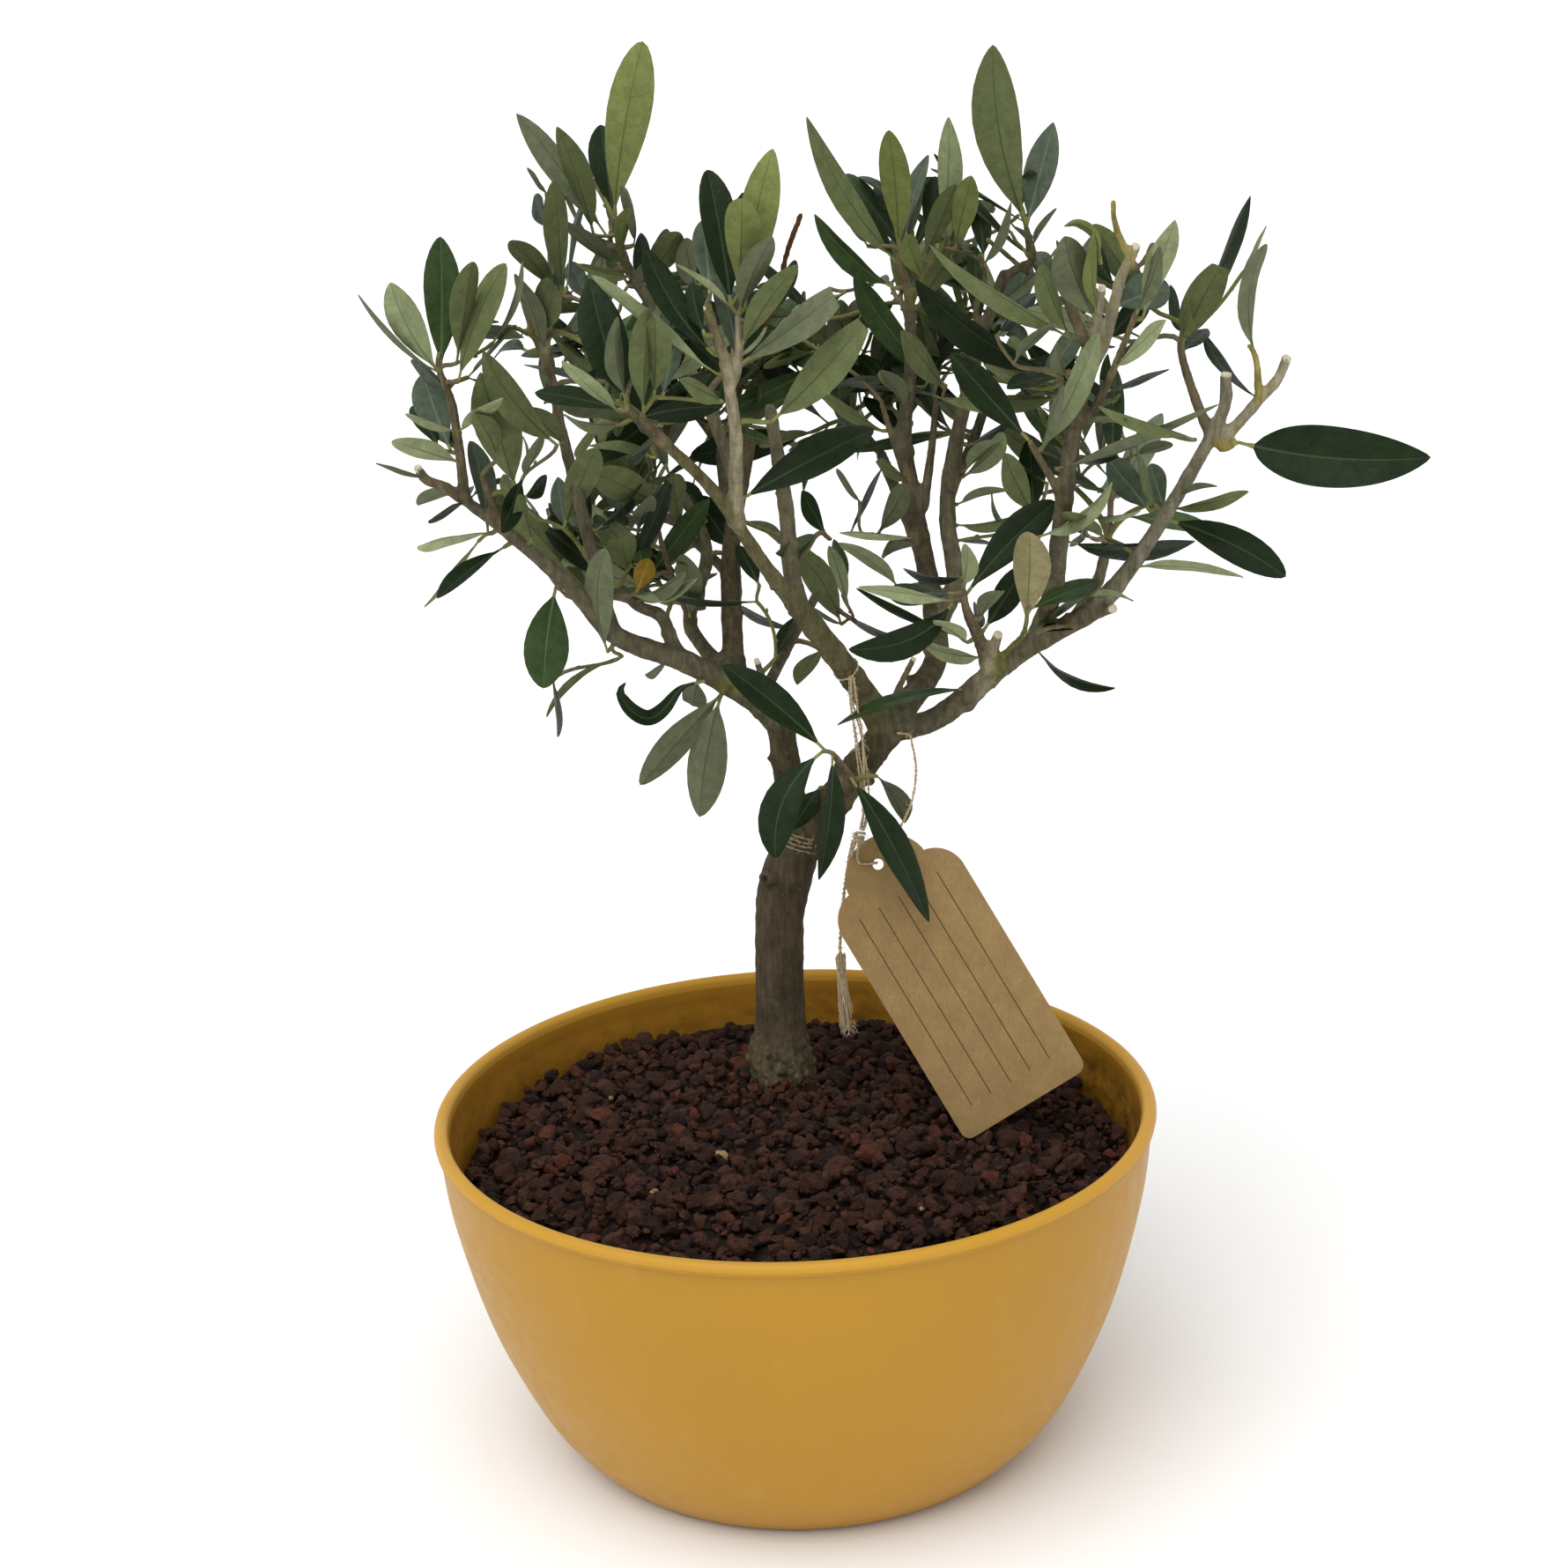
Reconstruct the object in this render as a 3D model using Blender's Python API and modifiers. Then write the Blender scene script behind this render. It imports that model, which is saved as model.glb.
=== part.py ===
"""Olive bonsai in a round bowl pot.

A small olive tree, about 0.33 m tall above its grit, stands in a 230 mm bowl.
The trunk forks low into a left and a right stem.  Ten or so bare boughs open
out from them and end in loose masses of leaves.  A card tag hangs from the
fork on jute twine and leans on the grit.

World frame: metres, +Z up, origin at the centre of the pot's flat underside.
-Y is the side with the tag.  Sizes below are in millimetres.
"""
import math

import bmesh
import bpy
from mathutils import Matrix, Vector, noise

MM = 0.001
GAP = 0.3               # clearance kept between neighbouring pieces

# ---- pot and grit --------------------------------------------------------
RIM_R = 115.0           # outer radius of the lip
POT_H = 112.0           # height to the top of the lip
FOOT_R = 70.0           # flat underside
WALL = 2.6              # wall thickness
FLOOR = 3.0             # floor thickness
LIP_W = 4.6             # width of the rounded lip
LIP_H = 3.8             # height of the lip's outer band
POT_STEPS = 30
# outer wall between foot and lip: (height, radius)
WALL_LINE = ((3.0, 76.0), (9.0, 81.8), (22.0, 90.2), (50.0, 102.1), (84.0, 110.8), (POT_H - LIP_H, 113.7))

GRIT_PEAK = 104.0       # top of the grit mound beside the trunk
GRIT_DROP = 15.0        # fall from there to the far wall
GRIT_CENTRE = (-2.0, 30.0)
TRUNK_FOOT = (-4.0, 42.0)
TRUNK_CUT = 104.5       # height of the trunk's flat cut

# ---- front view ----------------------------------------------------------
# The tree is laid out on a view of its front, which stands a little above it.
# A place there is (across, down, depth): across and down run from the view's
# top left corner, about 3.4 units to the millimetre, and depth is millimetres
# behind the middle of the pot.
VIEW_FAR = 920.0        # from the middle of the pot's mouth
VIEW_RISE = 24.0        # degrees above the mouth
VIEW_DIP = 17.704       # degrees that it looks down
VIEW_TURN = 0.054       # degrees that it looks to the right
VIEW_ROLL = 2.319       # degrees that it leans
VIEW_SCALE = 3244.4     # units across per unit of slope
VIEW_MIDDLE = 890.0     # the view's middle, across and down

# ---- limbs ---------------------------------------------------------------
# name: (places the axis passes through, diameter at the base, at the tip)
LIMBS = {
    "trunk": (((886, 1190, 42), (886, 1146, 42), (885, 1099, 41), (886, 1029, 40), (898, 978, 39), (910, 942, 38)), 16.0, 15.6),
    "left_stem": (((908, 962, 38), (896, 895, 37), (885, 808, 36)), 9.4, 8.4),
    "right_stem": (((913, 962, 38), (948, 908, 37), (1010, 826, 35)), 11.4, 10.0),
    "left_bough": (((887, 818, 36), (850, 790, 36), (780, 752, 31), (700, 722, 24), (650, 668, 17), (580, 608, 10), (520, 562, 5)), 8.2, 3.4),
    "far_left_shoot": (((528, 568, 6), (522, 515, 2), (515, 468, 0)), 3.2, 2.6),
    "left_upright_bough": (((692, 712, 24), (680, 655, 24), (666, 603, 26), (634, 475, 29)), 4.8, 3.2),
    "middle_upright_bough": (((835, 776, 35), (832, 730, 43), (830, 620, 57), (850, 502, 66)), 7.2, 4.6),
    "left_rear_bough": (((826, 766, 36), (795, 730, 46), (783, 700, 54), (802, 637, 66), (793, 595, 70), (770, 555, 73)), 4.8, 3.6),
    "top_left_bough": (((838, 562, 62), (812, 480, 60), (775, 405, 56), (710, 300, 49)), 4.4, 3.2),
    "front_bough": (((1002, 820, 34), (965, 765, 26), (905, 688, 7), (868, 642, -4), (812, 560, -20), (755, 503, -31)), 8.4, 4.4),
    "front_shoot": (((836, 596, -13), (835, 540, -19), (835, 491, -24), (822, 402, -32)), 4.6, 3.0),
    "centre_upright_bough": (((908, 696, 8), (897, 640, 13), (892, 575, 19), (874, 463, 27)), 5.6, 3.8),
    "thin_middle_bough": (((862, 797, 37), (880, 762, 46), (903, 718, 57), (940, 652, 76)), 3.8, 2.8),
    "right_bough_low": (((1012, 826, 35), (1065, 814, 30), (1150, 746, 19), (1240, 694, 11)), 7.4, 6.0),
    "right_bough_high": (((1242, 693, 11), (1275, 655, 9), (1321, 588, 8), (1385, 475, 11), (1392, 425, 12)), 5.9, 4.0),
    "right_upright_bough": (((1176, 730, 17), (1196, 668, 10), (1203, 610, 4), (1222, 470, -8), (1243, 402, -12)), 6.2, 4.4),
    "right_rear_bough": (((1012, 815, 36), (1036, 791, 46), (1062, 750, 57), (1061, 700, 68), (1043, 600, 82), (1028, 520, 87)), 8.4, 5.2),
    "right_rear_top_bough": (((1028, 517, 87), (1026, 490, 86), (1034, 410, 80), (1032, 330, 74)), 5.1, 3.4),
    "right_rear_upright": (((1061, 714, 66), (1084, 660, 72), (1076, 595, 77), (1080, 528, 80), (1110, 400, 74), (1140, 310, 64)), 6.2, 3.2),
    "right_front_shoot": (((1124, 776, 23), (1115, 735, 15), (1102, 703, 6)), 4.4, 3.4),
    "left_back_bough": (((832, 742, 41), (832, 700, 60), (833, 645, 80), (818, 515, 107)), 5.6, 3.6),
    "left_back_low_bough": (((831, 655, 76), (800, 625, 88), (768, 595, 94)), 3.6, 2.8),
    "centre_back_bough": (((1059, 738, 60), (1055, 680, 82), (1042, 620, 99), (1000, 515, 116)), 5.4, 3.6),
    "right_back_bough": (((1095, 798, 27), (1135, 762, 52), (1175, 732, 74), (1215, 706, 92), (1232, 684, 99)), 5.4, 4.2),
    "right_back_upright": (((1233, 682, 99.5), (1247, 658, 104), (1258, 610, 108)), 4.1, 3.4),
    "back_top_bough": (((1077, 560, 78), (1105, 500, 92), (1128, 430, 104)), 4.0, 2.8),
}
TRUNK_FLARE = 5.4       # extra diameter of the root flare at the cut
FLARE_RUN = 9.0         # height over which it fades
LIMB_STEP = 15.0        # spacing of the rings along a limb

# ---- masses of leaves ----------------------------------------------------
# name: (middle, half sizes across / up in view units, half depth in mm, furthest leaf tips)
MASSES = {
    "foliage_far_left": ((515, 392, 0), (64, 86), 24, ((503, 270, -2), (438, 320, -10), (405, 333, 10), (583, 302, 10))),
    "foliage_low_left": ((545, 592, 8), (68, 54), 26, ((476, 620, 0), (484, 690, 8), (428, 526, 6))),
    "foliage_left_middle": ((628, 400, 30), (60, 98), 25, ((583, 280, 30), (632, 208, 32), (700, 512, 38))),
    "foliage_top_left": ((690, 240, 46), (60, 84), 26, ((730, 46, 46), (590, 130, 34), (630, 145, 52), (682, 142, 62))),
    "foliage_front_left": ((725, 458, -34), (90, 72), 28, ((665, 322, -46), (610, 455, -34), (650, 520, -26))),
    "foliage_front_centre": ((838, 335, -40), (84, 80), 26, ((802, 195, -30), (880, 170, -34), (842, 225, -56), (968, 318, -42))),
    "foliage_centre_leaf": ((915, 520, -18), (58, 26), 8, ((992, 488, -24), (852, 562, -20))),
    "foliage_inner_left": ((708, 610, 46), (82, 66), 28, ((808, 655, 38), (620, 598, 34), (652, 512, 42))),
    "foliage_left_droop": ((627, 740, 10), (26, 54), 10, ((633, 833, 10), (612, 770, 4))),
    "foliage_left_hanging": ((780, 838, 22), (42, 50), 11, ((730, 893, 20), (795, 928, 18), (702, 778, 24))),
    "foliage_at_fork": ((945, 892, -2), (46, 54), 8, ((822, 760, 2), (880, 975, -6), (932, 1001, -7), (1055, 1046, -12))),
    "foliage_centre_rear": ((935, 620, 84), (50, 60), 22, ((900, 560, 82), (955, 700, 74), (1010, 600, 92))),
    "foliage_top_inner_right": ((1025, 245, 70), (76, 84), 26, ((917, 134, 60), (1010, 149, 76), (1080, 134, 80), (925, 245, 58))),
    "foliage_top_right": ((1165, 215, 56), (48, 88), 25, ((1127, 49, 54), (1205, 140, 62), (1190, 290, 48))),
    "foliage_right_crown": ((1235, 345, -16), (80, 84), 27, ((1210, 250, -22), (1330, 252, -12), (1150, 330, -30), (1320, 430, -20))),
    "foliage_far_right_top": ((1392, 340, 12), (46, 80), 19, ((1420, 221, 12), (1437, 257, 18), (1340, 300, 18))),
    "foliage_far_right_leaf": ((1515, 514, 11), (54, 26), 4, ((1623, 521, 11), (1422, 492, 11))),
    "foliage_right_middle": ((1300, 572, 2), (88, 60), 25, ((1458, 654, 0), (1415, 565, 12), (1255, 510, -16), (1380, 610, -20))),
    "foliage_rear_right_middle": ((1088, 425, 82), (94, 88), 28, ((965, 312, 76), (1195, 440, 76), (985, 540, 86))),
    "foliage_front_right": ((1125, 650, -10), (88, 56), 24, ((975, 735, -12), (1195, 580, -20), (1285, 680, -6))),
    "foliage_right_drop": ((1222, 752, 14), (30, 18), 7, ((1268, 781, 12),)),
    "foliage_back_left": ((790, 430, 112), (90, 92), 31, ((720, 330, 114), (805, 330, 130), (720, 540, 130))),
    "foliage_back_left_low": ((698, 570, 98), (76, 68), 27, ((615, 618, 104), (660, 480, 98))),
    "foliage_back_centre": ((960, 435, 124), (84, 86), 30, ((930, 350, 130), (1010, 520, 146))),
    "foliage_back_right": ((1255, 520, 110), (88, 88), 31, ((1290, 420, 110), (1345, 560, 114), (1205, 620, 122))),
    "foliage_back_top": ((1130, 345, 112), (78, 74), 27, ((1110, 260, 110), (1190, 285, 112), (1150, 360, 138))),
}
SMALL_MASSES = {"foliage_centre_leaf", "foliage_left_droop", "foliage_left_hanging", "foliage_far_right_leaf", "foliage_right_drop"}
MASS_SIDES = 11          # facets round a mass
MASS_RINGS = 7           # and from its foot to its top
LOBE_WIDTH = 0.42       # angular width of a lobe that reaches a leaf tip, radians
UNEVEN = 0.16           # relief of a mass's surface

# ---- tag and twine -------------------------------------------------------
TAG_W = 45.0
TAG_SIDE = 76.0         # straight length of its sides
TAG_THICK = 0.6
TAG_EAR_R = 10.5        # round shoulders
TAG_LOBE_R = 14.2       # round middle lobe
TAG_LOBE_Y = 84.2
TAG_HOLE = (21.6, 89.9, 1.75)
TAG_CORNER = (54.0, -11.0, 99.8)
TAG_LEAN = 72.3         # degrees about X from lying flat
TAG_SPIN = 28.8         # degrees in its own plane
TWINE = {
    "twine_strands": (((966, 768, 20.5), (970, 805, 21), (975, 832, 21.5), (980, 882, 19), (982, 918, 15), (978, 942, 11.5)), 2.8, 3.2),
    "twine_loop": (((1035, 843, 28), (1040, 873, 25), (1035, 910, 20), (1022, 939, 19)), 1.2, 1.2),
    "twine_tail": (((968, 954, 19), (959, 1007, 20), (954, 1064, 20), (955, 1098, 19), (961, 1170, 19)), 1.4, 3.2),
}

COLOURS = {
    "pot": ((0.60, 0.30, 0.055), 0.42),
    "grit": ((0.045, 0.020, 0.013), 0.95),
    "bark": ((0.17, 0.13, 0.095), 0.9),
    "leaf": ((0.075, 0.125, 0.060), 0.6),
    "card": ((0.45, 0.28, 0.14), 0.9),
    "jute": ((0.50, 0.40, 0.27), 0.95),
}

for old in list(bpy.data.objects):
    bpy.data.objects.remove(old, do_unlink=True)

PARTS = bpy.data.collections.new("olive_bonsai")
CUTTERS = bpy.data.collections.new("cutters")
for c in (PARTS, CUTTERS):
    bpy.context.scene.collection.children.link(c)
root = bpy.data.objects.new("olive_bonsai_origin", None)
PARTS.objects.link(root)


def material(kind):
    """The Principled material of one kind of surface."""
    mat = bpy.data.materials.get(kind)
    if mat is None:
        mat = bpy.data.materials.new(kind)
        mat.use_nodes = True
        bsdf = mat.node_tree.nodes["Principled BSDF"]
        rgb, rough = COLOURS[kind]
        bsdf.inputs["Base Color"].default_value = (*rgb, 1.0)
        bsdf.inputs["Roughness"].default_value = rough
        bsdf.inputs["Metallic"].default_value = 0.0
        mat.diffuse_color = (*rgb, 1.0)
    return mat


def add(name, data, kind, location=(0, 0, 0), collection=None):
    """Link a new object at a place given in millimetres."""
    obj = bpy.data.objects.new(name, data)
    (collection or PARTS).objects.link(obj)
    obj.location = Vector(location) * MM
    if collection is None:
        obj.parent = root
    if kind:
        data.materials.append(material(kind))
    return obj


def evaluated_mesh(obj):
    """The object's evaluated shape as a new mesh."""
    bpy.context.view_layer.update()
    graph = bpy.context.evaluated_depsgraph_get()
    return bpy.data.meshes.new_from_object(obj.evaluated_get(graph), depsgraph=graph)


def weld(mesh, distance=1e-5):
    """Merge a mesh's doubled points."""
    bm = bmesh.new()
    bm.from_mesh(mesh)
    bmesh.ops.remove_doubles(bm, verts=bm.verts, dist=distance)
    bmesh.ops.recalc_face_normals(bm, faces=bm.faces)
    bm.to_mesh(mesh)
    bm.free()


def smooth(mesh, degrees=50):
    mesh.shade_smooth()
    mesh.set_sharp_from_angle(angle=math.radians(degrees))


# ---- front view ----------------------------------------------------------
def view_axes():
    """Directions straight ahead, to the right and up, as the front view has them."""
    dip, turn, roll = (math.radians(a) for a in (VIEW_DIP, VIEW_TURN, VIEW_ROLL))
    ahead = Vector((math.sin(turn) * math.cos(dip), math.cos(turn) * math.cos(dip), -math.sin(dip)))
    level = Vector((math.cos(turn), -math.sin(turn), 0.0))
    above = level.cross(ahead)
    return ahead, level * math.cos(roll) - above * math.sin(roll), level * math.sin(roll) + above * math.cos(roll)


AHEAD, ACROSS, UPWARD = view_axes()
EYE = Vector((0.0, -VIEW_FAR * math.cos(math.radians(VIEW_RISE)), VIEW_FAR * math.sin(math.radians(VIEW_RISE)) + POT_H))


def place(across, down, depth):
    """The point in millimetres at a place on the front view."""
    ray = ACROSS * ((across - VIEW_MIDDLE) / VIEW_SCALE) - UPWARD * ((down - VIEW_MIDDLE) / VIEW_SCALE) + AHEAD
    return EYE + ray * ((depth - EYE.y) / ray.y)


def view_units(size, point):
    """A size on the front view in millimetres, at the distance of a point."""
    return size * (point - EYE).dot(AHEAD) / VIEW_SCALE


def limb_points(name):
    pts = [place(*p) for p in (LIMBS.get(name) or TWINE.get(name))[0]]
    if name == "trunk":
        foot = Vector((*TRUNK_FOOT, TRUNK_CUT))
        pts = [foot] + pts
    return pts


def mass_shape(name):
    """Middle, half sizes and leaf tips of a mass, in millimetres."""
    middle, (wide, high), deep, tips = MASSES[name]
    c = place(*middle)
    return c, (view_units(wide, c), deep, view_units(high, c)), [place(*t) for t in tips]


# ---- curves --------------------------------------------------------------
def spline_points(points, step):
    """Points every few millimetres on a smooth line through the given ones."""
    pts = [Vector(p) for p in points]
    ends = [pts[0] * 2 - pts[1]] + pts + [pts[-1] * 2 - pts[-2]]
    out = []
    for i in range(1, len(ends) - 2):
        a, b, c, d = ends[i - 1:i + 3]
        n = max(1, round((c - b).length / step))
        for k in range(n):
            t = k / n
            out.append(0.5 * ((2 * b) + (c - a) * t + (2 * a - 5 * b + 4 * c - d) * t * t + (3 * b - a - 3 * c + d) * t ** 3))
    out.append(pts[-1])
    return out


def run_lengths(line):
    """Distance along the line at each of its points."""
    s = [0.0]
    for a, b in zip(line, line[1:]):
        s.append(s[-1] + (b - a).length)
    return s


def limb_profile(name, line, d0, d1):
    """Radius at each point: an even taper, a slight swell at the nodes, a round tip."""
    s = run_lengths(line)
    radii = []
    for i, x in enumerate(s):
        t = x / s[-1]
        r = (d0 + (d1 - d0) * t) / 2
        if name == "trunk":
            r += TRUNK_FLARE / 2 * math.exp(-x / FLARE_RUN)
            r += 0.5 * math.exp(-((x - 68) / 8) ** 2)
        else:
            r *= 1 + 0.05 * math.sin(x / 5.3 + len(name))
        radii.append(r)
    return radii


def tube(name, line, radii, kind, sides=2, grow=0.0, collection=None):
    """A tapering round limb as one closed mesh."""
    curve = bpy.data.curves.new(name, "CURVE")
    curve.dimensions = "3D"
    curve.bevel_depth = MM
    curve.bevel_resolution = sides
    curve.use_fill_caps = True
    sp = curve.splines.new("POLY")
    line, radii = list(line), list(radii)
    tip = (line[-1] - line[-2]).normalized()
    line.append(line[-1] + tip * radii[-1] * 0.55)
    radii.append(radii[-1] * 0.62)
    if grow:
        line[-1] = line[-1] + tip * grow
        line[0] = line[0] - (line[1] - line[0]).normalized() * grow
    sp.points.add(len(line) - 1)
    for p, q, r in zip(sp.points, line, radii):
        p.co = (*((q - line[0]) * MM), 1.0)
        p.radius = r + grow
    obj = add(name + "_line", curve, kind, line[0], CUTTERS)
    mesh = evaluated_mesh(obj)
    place = line[0]
    bpy.data.objects.remove(obj, do_unlink=True)
    bpy.data.curves.remove(curve)
    weld(mesh)
    smooth(mesh)
    mesh.name = name
    out = bpy.data.objects.new(name, mesh)
    (collection or PARTS).objects.link(out)
    out.location = place * MM
    if collection is None:
        out.parent = root
    else:
        out.hide_render = True
        out.display_type = "WIRE"
    return out


def largest_body(mesh):
    """Keep only the biggest connected body of a mesh."""
    bm = bmesh.new()
    bm.from_mesh(mesh)
    bmesh.ops.triangulate(bm, faces=bm.faces)
    seen, bodies = set(), []
    for v in bm.verts:
        if v in seen:
            continue
        body, todo = set(), [v]
        while todo:
            w = todo.pop()
            if w in body:
                continue
            body.add(w)
            todo.extend(e.other_vert(w) for e in w.link_edges)
        seen |= body
        bodies.append(body)

    def volume(body):
        total = 0.0
        for f in bm.faces:
            if f.verts[0] in body:
                a, b, c = (v.co for v in f.verts)
                total += a.dot(b.cross(c)) / 6
        return abs(total)

    bodies.sort(key=volume, reverse=True)
    for body in bodies[1:]:
        bmesh.ops.delete(bm, geom=list(body), context="VERTS")
    bmesh.ops.dissolve_limit(bm, angle_limit=math.radians(0.05), verts=bm.verts, edges=bm.edges)
    bmesh.ops.triangulate(bm, faces=bm.faces)
    bm.to_mesh(mesh)
    bm.free()


def cut(obj, cutters):
    """Cut an object round its neighbours."""
    for cutter in cutters:
        mod = obj.modifiers.new("cut_" + cutter.name, "BOOLEAN")
        mod.operation = "DIFFERENCE"
        mod.solver = "EXACT"
        mod.object = cutter
        mesh = evaluated_mesh(obj)
        old, name = obj.data, obj.data.name
        obj.modifiers.clear()
        obj.data = mesh
        bpy.data.meshes.remove(old)
        mesh.name = name
        largest_body(mesh)
        smooth(mesh)


# ---- pot -----------------------------------------------------------------
def arc(cx, cy, r, a0, a1, n):
    return [(cx + r * math.cos(math.radians(a0 + (a1 - a0) * k / n)), cy + r * math.sin(math.radians(a0 + (a1 - a0) * k / n))) for k in range(n + 1)]


def inner_radius(z):
    """Radius of the pot's inner wall at a height."""
    pts = [(FLOOR, FOOT_R - 1.0), (9.0, WALL_LINE[1][1] - WALL)] + [(h, r - WALL) for h, r in WALL_LINE[2:]]
    for (h0, r0), (h1, r1) in zip(pts, pts[1:]):
        if z <= h1:
            return r0 + (r1 - r0) * (z - h0) / (h1 - h0)
    return pts[-1][1]


def pot_profile():
    """Half section, from the floor's centre up the inside, over the lip and down outside."""
    pts = [(0.0, FLOOR), (FOOT_R - 1.0, FLOOR)]
    pts += [(inner_radius(h), h) for h, r in WALL_LINE[1:-1]]
    lip = LIP_W / 2
    pts += [(RIM_R - LIP_W - 0.2, POT_H - LIP_H)]
    pts += arc(RIM_R - lip, POT_H - lip, lip, 180, 0, 4)
    pts += [(RIM_R - 0.3, POT_H - LIP_H + 0.4), (WALL_LINE[-1][1], POT_H - LIP_H)]
    pts += [(r, h) for h, r in reversed(WALL_LINE[:-1])]
    pts += [(FOOT_R, 0.0), (0.0, 0.0)]
    return pts


def build_pot():
    mesh = bpy.data.meshes.new("pot")
    pts = pot_profile()
    mesh.from_pydata([(r * MM, 0, h * MM) for r, h in pts], [(i, i + 1) for i in range(len(pts) - 1)], [])
    pot = add("pot", mesh, "pot")
    screw = pot.modifiers.new("turn", "SCREW")
    screw.axis = "Z"
    screw.steps = screw.render_steps = POT_STEPS
    screw.use_merge_vertices = True
    screw.merge_threshold = 0.00001
    screw.use_smooth_shade = True
    return pot


def grit_height(x, y):
    """Height of the grit's surface: a low mound by the trunk, a little uneven."""
    d = math.hypot(x - GRIT_CENTRE[0], y - GRIT_CENTRE[1])
    z = GRIT_PEAK - GRIT_DROP * (d / 112.0) ** 2.2
    near = min(1.0, max(0.0, (math.hypot(x - TRUNK_FOOT[0], y - TRUNK_FOOT[1]) - 15.0) / 12.0))
    z += near * 0.7 * (noise.noise(Vector((x, y, 0)) / 17.0) - 0.35)
    return min(z, GRIT_PEAK - 0.1) if near > 0 else GRIT_PEAK - 0.1


def build_grit():
    """The grit and root ball that fill the bowl."""
    bm = bmesh.new()
    clear = 0.45
    rings = []

    def ring(r, z):
        row = []
        for k in range(POT_STEPS):
            a = 2 * math.pi * k / POT_STEPS
            x, y = r(a) * math.cos(a), r(a) * math.sin(a)
            row.append(bm.verts.new((x * MM, y * MM, z(x, y) * MM)))
        rings.append(row)

    base = FLOOR + clear
    ring(lambda a: inner_radius(base) - clear, lambda x, y: base)
    for h in (9.0, 22.0, 50.0):
        ring(lambda a: inner_radius(h) - clear, lambda x, y: h)
    edge = inner_radius(84.0) - clear
    ring(lambda a: edge, lambda x, y: 84.0)
    for f in (1.0, 0.86, 0.68, 0.5, 0.32, 0.14):
        ring(lambda a: edge * f, grit_height)
    low = bm.verts.new((0, 0, base * MM))
    top = bm.verts.new((0, 0, grit_height(0, 0) * MM))
    for a, b in zip(rings, rings[1:]):
        for k in range(POT_STEPS):
            j = (k + 1) % POT_STEPS
            bm.faces.new((a[k], a[j], b[j], b[k]))
    for k in range(POT_STEPS):
        j = (k + 1) % POT_STEPS
        bm.faces.new((low, rings[0][j], rings[0][k]))
        bm.faces.new((top, rings[-1][k], rings[-1][j]))
    bmesh.ops.recalc_face_normals(bm, faces=bm.faces)
    bmesh.ops.triangulate(bm, faces=bm.faces)
    mesh = bpy.data.meshes.new("grit")
    bm.to_mesh(mesh)
    bm.free()
    smooth(mesh)
    return add("grit", mesh, "grit")


# ---- limbs ---------------------------------------------------------------
lines = {}
shapes = {}


def near(line_a, radii_a, line_b, radii_b, extra):
    """Whether two limbs come closer than their radii and a margin."""
    return any((p - q).length < r + s + extra for p, r in zip(line_a, radii_a) for q, s in zip(line_b, radii_b))


def fine(line, radii):
    """The same limb with midpoints added, for distance tests."""
    pts, rad = [], []
    for a, b, r, s in zip(line, line[1:], radii, radii[1:]):
        for t in (0.0, 0.25, 0.5, 0.75):
            pts.append(a.lerp(b, t))
            rad.append(r + (s - r) * t)
    return pts + [line[-1]], rad + [radii[-1]]


def build_limb(name, points, d0, d1, kind="bark", step=LIMB_STEP, sides=2):
    line = spline_points(points, step)
    radii = limb_profile(name, line, d0, d1) if kind == "bark" else [(d0 + (d1 - d0) * k / (len(line) - 1)) / 2 for k in range(len(line))]
    obj = tube(name, line, radii, kind, sides)
    dense = fine(line, radii)
    touching = [n for n in lines if near(*dense, *lines[n], 1.0)]
    for n in touching:
        if n not in shapes:
            shapes[n] = tube(n + "_cutter", *source[n], None, source_sides[n], grow=GAP, collection=CUTTERS)
    cut(obj, [shapes[n] for n in touching])
    lines[name] = dense
    source[name] = (line, radii)
    source_sides[name] = sides
    return obj


source, source_sides = {}, {}


# ---- masses --------------------------------------------------------------
def body_radius(direction, half):
    return 1.0 / math.sqrt(sum((d / h) ** 2 for d, h in zip(direction, half)))


def mean_size(half):
    return (half[0] * half[1] * half[2]) ** (1 / 3)


def clip_planes(name):
    """Planes that part this mass from each other one: (direction, distance)."""
    c, half, _ = mass_shape(name)
    planes = []
    for other in MASSES:
        if other == name:
            continue
        co, ho, _ = mass_shape(other)
        d = co - c
        length = d.length
        n = d / length
        mine, theirs = body_radius(n, half), body_radius(-n, ho)
        share = mine / (mine + theirs)
        planes.append((n, length * share - GAP * 0.6))
    return planes


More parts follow.
